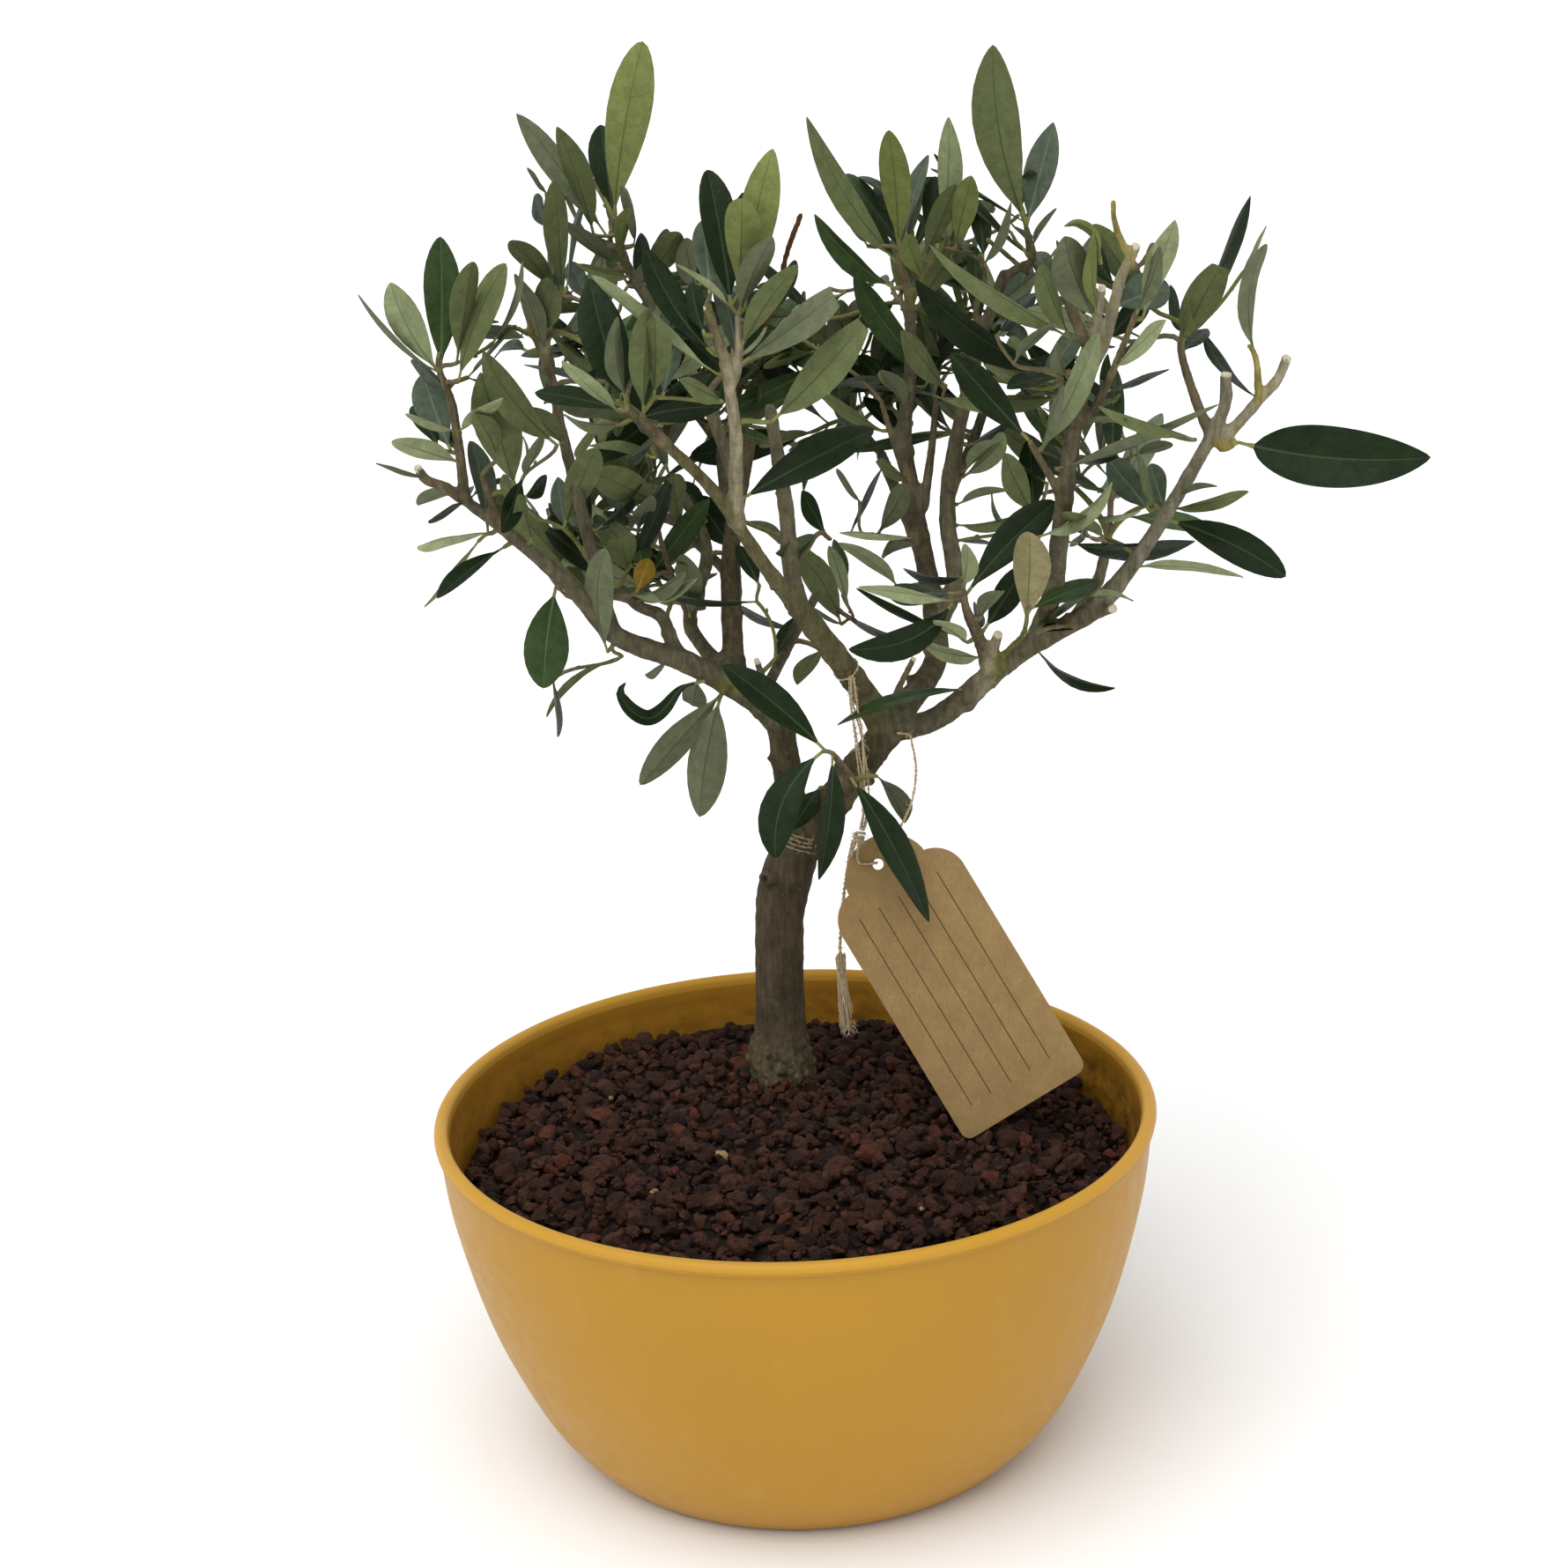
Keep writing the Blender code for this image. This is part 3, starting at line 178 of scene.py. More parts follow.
# ---- leading leaves: (base, tip, width seen, look, sideways bow) on the front view ----
# looks: upper side D deep, B bluish, M mid; under side O olive, G grey, L light, F fresh, P straw, E edge-on
SPRAYS = {
    "far_left": (("far_left_shoot", "a_top", "a_end", "a_side", "left_bough"), 0, (
        (496, 425, 443, 320, 35, "L", -6, 6), (500, 422, 500, 268, 42, "M"), (518, 413, 535, 297, 27, "O", 6, 0), (521, 432, 575, 299, 30, "O", -6, -6),
        (498, 427, 406, 333, 6, "E", -8, 10), (559, 390, 593, 295, 8, "E"), (510, 491, 461, 472, 10, "L", 0, -6), (499, 508, 469, 460, 22, "D"),
        (512, 514, 480, 424, 42, "B"), (506, 440, 466, 410, 18, "D"), (522, 556, 474, 574, 14, "G"), (523, 492, 571, 451, 14, "L"), (586, 556, 545, 422, 50, "O"), (632, 506, 548, 398, 34, "O", -6, 4),
        (520, 528, 445, 500, 23, "L"), (481, 545, 426, 526, 5, "E"), (517, 514, 466, 462, 24, "D"), (566, 520, 540, 470, 24, "O"), (529, 573, 486, 592, 9, "D"), (559, 612, 473, 621, 12, "L", 0, -5),
        (572, 622, 496, 680, 18, "D"), (543, 615, 481, 690, 9, "O"), (554, 606, 534, 500, 24, "B"), (594, 541, 569, 605, 24, "D"),
        (594, 567, 621, 541, 17, "D"), (594, 535, 614, 494, 12, "G"), (592, 535, 593, 495, 4, "E"))),
    "left_middle": (("left_upright_bough", "b_top", "b_pale", "b_twig"), 28, (
        (636, 339, 627, 205, 30, "O", 6, 0), (630, 330, 579, 273, 24, "O"), (610, 380, 632, 325, 20, "O"), (599, 400, 561, 407, 12, "D", 0, -8),
        (687, 432, 594, 414, 10, "D"), (623, 397, 676, 395, 12, "D", 0, -12), (628, 378, 673, 419, 20, "O"), (620, 221, 598, 191, 6, "E"),
        (623, 260, 607, 221, 16, "D"), (618, 410, 640, 300, 24, "D"), (622, 400, 584, 310, 18, "G"), (634, 508, 597, 462, 24, "O"), (672, 345, 645, 298, 24, "B"), (640, 376, 668, 348, 18, "G"), (612, 378, 624, 316, 26, "O"))),
    "top_left": (("top_left_bough", "c_top"), 48, (
        (698, 250, 730, 46, 49, "F", -6, 2), (695, 250, 682, 141, 38, "D"), (689, 268, 586, 129, 27, "G", -4, -10), (674, 266, 632, 143, 29, "O"),
        (719, 279, 704, 211, 10, "G", 10, 0), (700, 300, 640, 250, 18, "G"), (716, 318, 652, 300, 14, "O"), (715, 316, 760, 262, 20, "D"), (722, 330, 742, 290, 18, "G"), (735, 322, 771, 263, 32, "O"), (790, 332, 778, 270, 24, "G"), (741, 336, 727, 264, 22, "D"), (706, 292, 712, 236, 18, "F"), (712, 322, 668, 268, 22, "M"))),
    "front_left": (("front_bough", "d_top"), -34, (
        (712, 457, 669, 315, 51, "D", -4, 4), (703, 468, 638, 409, 19, "L"), (706, 472, 607, 445, 22, "D"), (719, 476, 821, 462, 28, "D", 0, -4),
        (722, 475, 808, 425, 22, "D"), (725, 464, 735, 349, 26, "O"), (742, 452, 743, 360, 30, "O"), (752, 452, 769, 384, 22, "B"), (820, 456, 771, 431, 20, "O"), (705, 482, 640, 470, 12, "G"),
        (682, 478, 657, 521, 12, "O"), (744, 518, 668, 506, 14, "O"), (740, 505, 712, 520, 14, "D"), (730, 470, 776, 400, 22, "D"), (716, 452, 700, 360, 22, "G"))),
    "front_centre": (("front_shoot", "e_left", "e_mid"), -33, (
        (811, 403, 733, 282, 35, "D", -6, 8), (815, 425, 671, 312, 14, "L", -6, 8), (826, 349, 768, 300, 8, "L"), (830, 349, 803, 192, 40, "D"),
        (837, 317, 843, 218, 26, "D"), (846, 349, 878, 168, 42, "F", -6, 0), (838, 336, 842, 225, 40, "F"), (806, 334, 797, 250, 30, "B"),
        (846, 355, 877, 268, 29, "G"), (838, 416, 966, 319, 32, "G", 0, 0, 0.84), (876, 478, 992, 352, 42, "O", 4, 4, 0.9), (833, 412, 812, 310, 28, "B"), (848, 364, 905, 297, 22, "D"),
        (800, 380, 785, 320, 24, "D"), (842, 400, 905, 300, 30, "O"), (836, 410, 868, 330, 28, "D"), (816, 420, 764, 372, 22, "D"))),
    "yellow_leaf": (("left_upright_bough", "left_bough"), 12, ((722, 674, 737, 634, 24, "Y"),)),
    "middle_leaf": (("front_shoot", "front_bough"), -19, ((840, 569, 993, 487, 40, "D", 0, -4),)),
    "top_inner": (("right_rear_top_bough", "f_top", "f_side"), 68, (
        (1020, 298, 915, 131, 30, "O", -4, 6), (1020, 285, 1009, 147, 32, "F"), (1071, 260, 1077, 132, 29, "L"), (1027, 272, 1054, 175, 20, "B"),
        (1049, 295, 1084, 209, 26, "O"), (1084, 282, 1103, 199, 28, "F"), (1116, 295, 1110, 239, 22, "D"), (1014, 327, 924, 242, 22, "M", -4, 6),
        (1020, 303, 947, 223, 19, "D"), (985, 279, 958, 231, 8, "D"), (1052, 317, 1028, 268, 25, "F"), (1070, 290, 1060, 200, 24, "D"))),
    "top_right": (("right_rear_upright", "g_top", "g_thin", "g_stub"), 58, (
        (1164, 255, 1127, 50, 52, "O", -10, 0), (1169, 253, 1196, 138, 35, "B"), (1177, 276, 1199, 236, 8, "G"), (1172, 282, 1149, 256, 10, "G"),
        (1122, 304, 1148, 229, 12, "G"), (1173, 295, 1059, 173, 10, "D", -6, 10), (1135, 349, 1199, 282, 11, "G"))),
    "right_middle_front": (("right_upright_bough", "h_top", "i_low", "i_tan"), -10, (
        (1215, 384, 1054, 277, 24, "O", 0, -4), (1205, 427, 1039, 317, 35, "D", -4, 4), (1169, 502, 1079, 400, 37, "D"), (1212, 382, 1180, 301, 24, "O"),
        (1184, 508, 1247, 376, 27, "L", 4, 4), (1186, 502, 1208, 438, 16, "G"), (1151, 413, 1199, 365, 13, "G"), (1132, 381, 1178, 333, 20, "D"))),
    "right_middle_rear": (("right_rear_bough", "right_rear_top_bough", "right_rear_upright"), 76, (
        (1074, 438, 969, 309, 32, "M", -4, 4), (1071, 454, 945, 437, 13, "B", 0, -8), (1002, 490, 928, 445, 16, "O"), (1012, 442, 974, 404, 22, "D"), (1070, 440, 1022, 376, 26, "O"), (985, 483, 944, 460, 15, "D"),
        (998, 425, 1012, 398, 16, "D"), (1033, 441, 976, 406, 20, "D"), (1207, 450, 1072, 454, 21, "O"), (1094, 542, 1141, 494, 22, "L"), (1206, 430, 1143, 442, 15, "D"), (1196, 433, 1116, 414, 16, "O"), (1172, 434, 1145, 384, 24, "O"),
        (1100, 505, 1145, 483, 12, "D"), (1034, 500, 980, 450, 18, "D"), (1036, 470, 1000, 420, 18, "G"), (1090, 470, 1130, 420, 20, "D"), (1050, 440, 1080, 380, 20, "D"))),
    "right_crown": (("right_upright_bough", "i_top", "i_stub", "i_tan", "i_side", "i_twig"), -14, (
        (1250, 365, 1208, 268, 45, "G", -4, 0), (1234, 365, 1199, 272, 20, "D"), (1268, 326, 1240, 275, 20, "D"), (1263, 350, 1326, 322, 44, "B"), (1256, 392, 1304, 336, 28, "D"),
        (1298, 362, 1334, 249, 29, "L"), (1266, 425, 1324, 363, 16, "L"), (1269, 410, 1308, 378, 12, "D"), (1212, 429, 1199, 391, 16, "G"),
        (1254, 447, 1328, 419, 8, "D"), (1356, 498, 1246, 461, 14, "O", 0, -8), (1233, 482, 1280, 476, 7, "G"), (1198, 531, 1385, 458, 13, "G", 0, 8),
        (1246, 358, 1243, 258, 16, "F"), (1290, 360, 1318, 280, 20, "G"))),
    "far_right": (("right_bough_high", "j_top", "j_pale", "j_green"), 12, (
        (1360, 372, 1420, 221, 15, "D"), (1344, 391, 1396, 286, 38, "O", -4, 0, 0.86), (1337, 382, 1328, 323, 13, "D"), (1341, 385, 1346, 336, 10, "F"),
        (1343, 402, 1371, 373, 20, "D"), (1423, 452, 1368, 379, 13, "D", -6, 6), (1412, 309, 1438, 256, 6, "L"), (1421, 402, 1437, 276, 18, "G", -10, 0))),
    "far_right_leaf": (("k_stalk",), 11, ((1404, 502, 1625, 519, 66, "D", 0, 10),)),
    "right_middle": (("right_bough_high", "right_upright_bough", "right_bough_low"), 8, (
        (1324, 589, 1460, 655, 38, "D", 4, -6), (1332, 584, 1418, 558, 13, "O"), (1341, 567, 1382, 552, 6, "G"), (1306, 581, 1257, 520, 34, "B"),
        (1318, 578, 1306, 526, 26, "B"), (1315, 578, 1290, 507, 12, "O"), (1289, 649, 1413, 656, 13, "L", 0, -4), (1212, 616, 1358, 614, 21, "D", 0, 10),
        (1236, 587, 1295, 580, 6, "L"), (1256, 611, 1206, 581, 15, "O"), (1218, 519, 1269, 519, 12, "D"))),
    "front_right": (("right_front_shoot", "m_top", "m_side", "right_bough_low", "l_low"), 2, (
        (1083, 684, 962, 737, 34, "D", 8, 14), (1084, 672, 1008, 676, 26, "B", 0, -4), (1078, 690, 974, 667, 15, "L"), (1088, 722, 971, 667, 12, "D", -4, 10),
        (1097, 656, 1025, 645, 10, "D"), (1103, 679, 1199, 569, 40, "D", -4, -4), (1101, 668, 1099, 620, 20, "L"), (1118, 716, 1166, 640, 32, "D"), (1098, 728, 1060, 704, 14, "L"), (1112, 702, 1137, 671, 18, "G"), (1114, 717, 1107, 684, 13, "D"),
        (1162, 710, 1169, 604, 42, "P"), (1180, 610, 1263, 546, 17, "L", 6, 4), (1167, 691, 1250, 659, 22, "M"), (1157, 720, 1247, 663, 9, "M"),
        (1173, 718, 1231, 709, 13, "D"), (1237, 679, 1287, 683, 8, "L"), (1178, 739, 1267, 781, 13, "D", -4, 6), (1110, 782, 949, 824, 14, "M", 0, -6),
        (1110, 747, 1046, 731, 17, "L"))),
    "centre_rear": (("centre_upright_bough", "thin_middle_bough", "right_rear_bough", "right_rear_upright", "n_side", "n_low", "n_rear"), 78, (
        (937, 610, 910, 557, 21, "D"), (929, 602, 880, 628, 18, "M"), (957, 712, 906, 627, 32, "O", 4, -4), (955, 709, 917, 688, 6, "E"),
        (1032, 722, 959, 697, 9, "D", 0, 5), (932, 740, 905, 778, 19, "O"), (1038, 612, 952, 605, 8, "L"), (1020, 666, 952, 616, 16, "L"),
        (976, 570, 949, 535, 9, "G"), (965, 605, 1001, 532, 8, "D"), (994, 608, 1030, 550, 26, "G"), (1034, 548, 994, 524, 15, "O"), (1003, 634, 1038, 618, 12, "G"),
        (1087, 596, 1161, 585, 13, "O"), (1087, 573, 1145, 556, 9, "L"), (1145, 602, 1126, 559, 6, "G"), (1174, 586, 1139, 514, 30, "O"),
        (1177, 578, 1168, 496, 30, "D"), (1089, 614, 1129, 618, 6, "D"), (1095, 535, 1135, 500, 16, "L"), (1189, 549, 1138, 521, 12, "M"),
        (900, 712, 830, 683, 9, "D"), (843, 592, 885, 618, 12, "G"))),
    "at_fork": (("o_twig",), -2, (
        (938, 846, 820, 755, 35, "D", 2, -2), (934, 854, 881, 975, 42, "D", -18, -6), (939, 859, 929, 1000, 26, "D"), (931, 895, 899, 943, 28, "D"),
        (965, 878, 1055, 1048, 34, "D", 4, -4), (995, 879, 1027, 935, 18, "G"))),
    "inner_left": (("left_bough", "left_rear_bough", "p_twig", "p_thin", "p_up", "q_left", "left_upright_bough"), 34, (
        (706, 666, 617, 599, 29, "D"), (706, 643, 703, 600, 34, "O", 0, 0, 0.8), (712, 650, 764, 535, 20, "D"), (738, 652, 806, 566, 28, "M"), (722, 596, 728, 644, 26, "M"), (725, 678, 779, 650, 15, "G"), (718, 674, 792, 657, 15, "L"),
        (735, 659, 815, 651, 9, "D"), (859, 682, 748, 672, 8, "D"), (779, 704, 776, 629, 27, "G"), (764, 650, 738, 623, 14, "D"), (833, 624, 790, 562, 34, "D"), (774, 602, 764, 538, 28, "O"), (802, 592, 776, 546, 24, "D"), (724, 602, 739, 562, 22, "G"), (660, 612, 668, 560, 16, "D"),
        (639, 605, 633, 541, 22, "B"), (604, 612, 588, 562, 20, "O"), (800, 690, 772, 640, 24, "O"), (862, 664, 838, 618, 20, "D"), (880, 748, 902, 700, 16, "D"), (634, 600, 677, 508, 34, "O"), (754, 572, 672, 534, 38, "O"), (677, 602, 738, 535, 11, "D"), (714, 599, 687, 580, 12, "D"),
        (690, 738, 688, 622, 31, "G", -12, 0), (706, 746, 620, 815, 8, "O", -6, -10), (631, 667, 617, 782, 49, "M", -4, 0), (628, 771, 633, 837, 9, "M"),
        (757, 752, 732, 766, 8, "G"), (792, 773, 784, 809, 30, "G", 0, 0, 0.8))),
    "left_hanging": (("p_hang", "left_bough"), 22, ((821, 785, 726, 892, 33, "G", 4, -4), (817, 788, 794, 928, 45, "G", -5, 0))),
}
# leaves that keep their place but roll up: (points on the view, depth, width seen, look)
CURLED = (
    ((800, 773, 27), (774, 781, 25), (753, 806, 21), (735, 816, 18), (716, 806, 16), (704, 786, 16), (711, 774, 18), 19, "D"),
    ((1250, 300, -17), (1243, 268, -20), (1224, 254, -24), (1207, 257, -27), 12, "F"),
)
# outlines that differ from the usual one: how fast the blade widens and narrows
OUTLINES = {"far_right_leaf": (0.60, 0.82)}
# places on the front view that stay open to the sky: (across, down, half sizes)
SKY = (
    (590, 322, 10, 20), (612, 500, 20, 30), (788, 420, 9, 9), (925, 388, 18, 11), (910, 470, 30, 22), (888, 590, 26, 13), (945, 560, 18, 26),
    (985, 582, 14, 20), (872, 735, 14, 40), (932, 768, 14, 14), (1020, 745, 28, 18), (1000, 775, 18, 14), (1075, 775, 20, 12), (1130, 545, 18, 22),
    (1110, 600, 16, 10), (1128, 628, 14, 8), (1335, 540, 24, 30), (1285, 640, 30, 13), (1228, 640, 10, 18), (1305, 445, 30, 16), (1330, 420, 24, 14),
    (1352, 470, 18, 20), (1403, 350, 8, 60), (712, 702, 18, 8), (655, 520, 8, 14), (930, 655, 12, 12), (860, 640, 10, 20), (815, 700, 8, 25), (770, 690, 8, 12),
    (770, 210, 26, 60), (905, 235, 12, 40), (940, 275, 14, 16), (1112, 120, 12, 60), (1225, 210, 20, 42), (1355, 290, 22, 34), (1385, 420, 24, 14), (670, 170, 10, 20), (560, 250, 40, 50),
    (745, 245, 16, 30), (925, 288, 26, 32), (1262, 495, 28, 13), (1268, 572, 24, 7), (1276, 598, 20, 8), (597, 430, 11, 22), (1174, 115, 13, 55),
    (1228, 130, 18, 44), (648, 535, 8, 16), (612, 330, 8, 14), (740, 405, 8, 10), (1245, 555, 10, 14), (1150, 690, 6, 8),
    (1110, 345, 12, 9), (1142, 282, 16, 10), (1142, 310, 22, 10), (1172, 332, 10, 14), (1194, 250, 14, 30), (1184, 384, 14, 13), (1162, 420, 9, 18),
    (1136, 440, 12, 8), (1074, 472, 7, 16), (1112, 470, 13, 8), (1128, 515, 18, 14), (1158, 474, 8, 8), (975, 262, 14, 26), (985, 398, 12, 14),
    (1012, 378, 10, 10), (950, 455, 14, 10), (1010, 470, 7, 8), (1250, 500, 26, 9), (1244, 534, 20, 8), (1282, 262, 10, 26), (1180, 600, 12, 12),
    (892, 440, 10, 16), (906, 420, 12, 6), (640, 470, 10, 12), (596, 520, 10, 16),
    (1122, 190, 13, 44), (668, 496, 11, 14), (708, 530, 26, 6), (690, 572, 18, 8), (748, 602, 9, 18), (790, 496, 8, 18), (826, 516, 6, 16),
    (811, 625, 8, 34), (606, 572, 7, 12), (648, 575, 5, 14), (735, 505, 14, 5), (1140, 295, 24, 12),
)

# ---- masses: (middle), (half sizes), half depth ; shoots that fill each ----
MASSES = {
    "foliage_far_left": ((515, 392, 0), (64, 86), 24, 5),
    "foliage_low_left": ((545, 592, 8), (68, 54), 26, 6),
    "foliage_left_middle": ((628, 400, 30), (60, 98), 25, 7),
    "foliage_top_left": ((690, 240, 46), (60, 84), 26, 7),
    "foliage_front_left": ((725, 458, -34), (90, 72), 28, 6),
    "foliage_front_centre": ((838, 335, -40), (84, 80), 26, 6),
    "foliage_centre_leaf": ((915, 520, -18), (58, 26), 8, 0),
    "foliage_inner_left": ((708, 610, 46), (82, 66), 28, 9),
    "foliage_left_droop": ((627, 740, 10), (26, 54), 10, 0),
    "foliage_left_hanging": ((780, 838, 22), (42, 50), 11, 0),
    "foliage_at_fork": ((945, 892, -2), (46, 54), 8, 0),
    "foliage_centre_rear": ((935, 620, 84), (50, 60), 22, 5),
    "foliage_top_inner_right": ((1025, 245, 70), (76, 84), 26, 5),
    "foliage_top_right": ((1165, 215, 56), (48, 88), 25, 3),
    "foliage_right_crown": ((1235, 345, -16), (80, 84), 27, 8),
    "foliage_far_right_top": ((1392, 340, 12), (46, 80), 19, 2),
    "foliage_far_right_leaf": ((1515, 514, 11), (54, 26), 4, 0),
    "foliage_right_middle": ((1300, 572, 2), (88, 60), 25, 6),
    "foliage_rear_right_middle": ((1088, 425, 82), (94, 88), 28, 14),
    "foliage_front_right": ((1125, 650, -10), (88, 56), 24, 7),
    "foliage_right_drop": ((1222, 752, 14), (30, 18), 7, 0),
    "foliage_back_left": ((790, 430, 112), (90, 92), 31, 36),
    "foliage_back_left_low": ((698, 570, 98), (76, 68), 27, 24),
    "foliage_back_centre": ((960, 435, 124), (84, 86), 30, 34),
    "foliage_back_right": ((1255, 520, 110), (88, 88), 31, 36),
    "foliage_back_top": ((1130, 345, 112), (78, 74), 27, 26),
}

# places where shoots stand close together: (middle), (half sizes), half depth, shoots
CLOSE = (
    ((665, 300, 40), (34, 30), 14, 3), ((742, 335, 44), (40, 34), 14, 4), ((700, 400, 4), (30, 30), 14, 2), ((548, 455, 16), (34, 36), 12, 2),
    ((850, 470, 36), (34, 30), 20, 4), ((845, 555, 40), (26, 22), 18, 2), ((1005, 300, 62), (40, 30), 16, 3), ((1030, 470, 96), (36, 34), 14, 4),
    ((1090, 500, 90), (30, 34), 14, 3), ((735, 655, 50), (40, 30), 14, 3), ((855, 650, 56), (24, 22), 12, 2), ((975, 600, 70), (34, 40), 16, 3),
    ((1075, 690, 10), (40, 30), 14, 2), ((1150, 660, 10), (34, 34), 14, 2), ((1150, 420, 34), (36, 36), 20, 4), ((1250, 400, 6), (40, 30), 16, 3),
    ((705, 380, 74), (60, 60), 18, 5), ((910, 320, 44), (34, 30), 20, 3), ((1010, 380, 34), (50, 40), 20, 4), ((1180, 430, 62), (50, 50), 18, 4),
    ((1280, 560, 48), (40, 34), 18, 3), ((610, 560, 52), (40, 34), 18, 3), ((890, 420, 76), (50, 50), 20, 4), ((1120, 600, 44), (30, 30), 16, 2),
    ((1218, 684, 96), (18, 14), 8, 2), ((775, 545, 40), (22, 26), 14, 3), ((945, 660, 60), (24, 26), 14, 3), ((1150, 715, 24), (28, 14), 10, 2),
    ((488, 545, 4), (20, 16), 10, 1), ((1300, 380, 10), (30, 30), 14, 2), ((520, 560, 14), (20, 16), 8, 1),
    ((1040, 315, 86), (44, 24), 14, 4), ((1055, 430, 98), (44, 26), 14, 4), ((1020, 350, 60), (34, 20), 14, 3), ((905, 320, 20), (20, 20), 12, 2), ((660, 245, 62), (30, 26), 12, 3), ((1230, 425, 30), (30, 24), 14, 3), ((850, 600, 90), (30, 30), 14, 3), ((720, 740, 44), (34, 14), 8, 2), ((790, 560, 96), (30, 30), 16, 3), ((560, 600, 22), (36, 22), 12, 2), ((730, 665, 60), (30, 22), 12, 3),
    ((850, 665, 66), (26, 22), 12, 3), ((955, 665, 90), (24, 26), 12, 2), ((655, 255, 56), (26, 26), 12, 3), ((475, 425, 14), (20, 24), 10, 1),
    ((905, 790, 44), (18, 12), 8, 1), ((1150, 735, 34), (26, 14), 8, 2),
)

TWINE = {
    "strands": ((966, 768, 20.5), (970, 805, 21), (975, 832, 21.5), (980, 882, 19), (982, 918, 15), (978, 942, 11.5)),
    "loop": ((1035, 843, 28), (1040, 873, 25), (1035, 910, 20), (1022, 939, 19)),
    "tail": ((968, 954, 19), (959, 1007, 20), (954, 1064, 20), (955, 1098, 19), (961, 1170, 19)),
}


# ---- materials -----------------------------------------------------------
def lin(rgb, gain=1.0):
    """Linear colour of an sRGB one given in 0..255."""
    out = []
    for c in rgb:
        c = c / 255.0
        out.append(gain * (c / 12.92 if c <= 0.04045 else ((c + 0.055) / 1.055) ** 2.4))
    return out


class Look:
    """A Principled material with its nodes."""

    def __init__(self, name, rough=0.6, spec=0.5):
        self.mat = bpy.data.materials.new(name)
        self.mat.use_nodes = True
        self.tree = self.mat.node_tree
        self.bsdf = self.tree.nodes["Principled BSDF"]
        self.bsdf.inputs["Roughness"].default_value = rough
        self.bsdf.inputs["Specular IOR Level"].default_value = spec
        self.where = self.node("ShaderNodeTexCoord").outputs["Object"]

    def node(self, kind, **values):
        n = self.tree.nodes.new(kind)
        for k, v in values.items():
            if hasattr(n, k):
                setattr(n, k, v)
            else:
                n.inputs[k].default_value = v
        return n

    def link(self, a, b):
        self.tree.links.new(a, b)

    def noise(self, scale, detail=3.0, rough=0.5, stretch=None, seed=0.0):
        n = self.node("ShaderNodeTexNoise", Scale=scale, Detail=detail, Roughness=rough)
        m = self.node("ShaderNodeMapping")
        m.inputs["Location"].default_value = (seed, seed * 0.7, -seed * 0.3)
        m.inputs["Scale"].default_value = stretch or (1, 1, 1)
        self.link(self.where, m.inputs["Vector"])
        self.link(m.outputs["Vector"], n.inputs["Vector"])
        return n.outputs["Fac"]

    def cells(self, scale, seed=0.0):
        n = self.node("ShaderNodeTexVoronoi", Scale=scale)
        m = self.node("ShaderNodeMapping")
        m.inputs["Location"].default_value = (seed, 0, seed)
        self.link(self.where, m.inputs["Vector"])
        self.link(m.outputs["Vector"], n.inputs["Vector"])
        return n.outputs["Distance"]

    def ramp(self, fac, *stops):
        n = self.node("ShaderNodeValToRGB")
        while len(n.color_ramp.elements) < len(stops):
            n.color_ramp.elements.new(0.5)
        for e, (pos, rgb) in zip(n.color_ramp.elements, stops):
            e.position = pos
            e.color = (*rgb, 1.0) if hasattr(rgb, "__len__") else (rgb, rgb, rgb, 1.0)
        self.link(fac, n.inputs["Fac"])
        return n.outputs["Color"]

    def span(self, fac, lo, hi, out_lo, out_hi):
        n = self.node("ShaderNodeMapRange")
        for i, v in enumerate((lo, hi, out_lo, out_hi), 1):
            n.inputs[i].default_value = v
        self.link(fac, n.inputs[0])
        return n.outputs[0]

    def mix(self, a, b, fac, how="MIX"):
        n = self.node("ShaderNodeMix", data_type="RGBA", blend_type=how)
        for v, i in ((fac, 0), (a, 6), (b, 7)):
            if hasattr(v, "is_linked"):
                self.link(v, n.inputs[i])
            elif i == 0:
                n.inputs[i].default_value = v
            else:
                n.inputs[i].default_value = (*v, 1.0)
        return n.outputs[2]

    def base(self, v):
        self.link(v, self.bsdf.inputs["Base Color"])
        return self

    def rough(self, v):
        self.link(v, self.bsdf.inputs["Roughness"])
        return self

    def bump(self, fac, distance, strength=1.0, under=None):
        n = self.node("ShaderNodeBump", Strength=strength, Distance=distance)
        self.link(fac, n.inputs["Height"])
        if under is not None:
            self.link(under, n.inputs["Normal"])
        self.link(n.outputs["Normal"], self.bsdf.inputs["Normal"])
        return n.outputs["Normal"]


def scaled(rgb, k):
    return [min(1.0, c * k) for c in rgb]


def leaf_look(name, rgb, rough, spec, vary=0.16, seed=0.0):
    k = Look(name, rough, spec)
    c = lin(rgb)
    blotch = k.ramp(k.noise(230, 5, 0.7, seed=seed), (0.32, scaled(c, 1 - vary)), (0.50, c), (0.68, scaled(c, 1 + vary)))
    fleck = k.span(k.noise(1100, 3, 0.6, seed=seed + 3), 0.54, 0.72, 0.0, 0.42)
    k.base(k.mix(blotch, scaled(c, 1.5), fleck))
    k.rough(k.span(k.noise(300, 2, seed=seed + 1), 0.3, 0.7, rough - 0.06, rough + 0.08))
    k.bump(k.noise(520, 4, 0.65, (1.0, 1.0, 1.0), seed + 2), 0.0004, 0.8)
    return k.mat


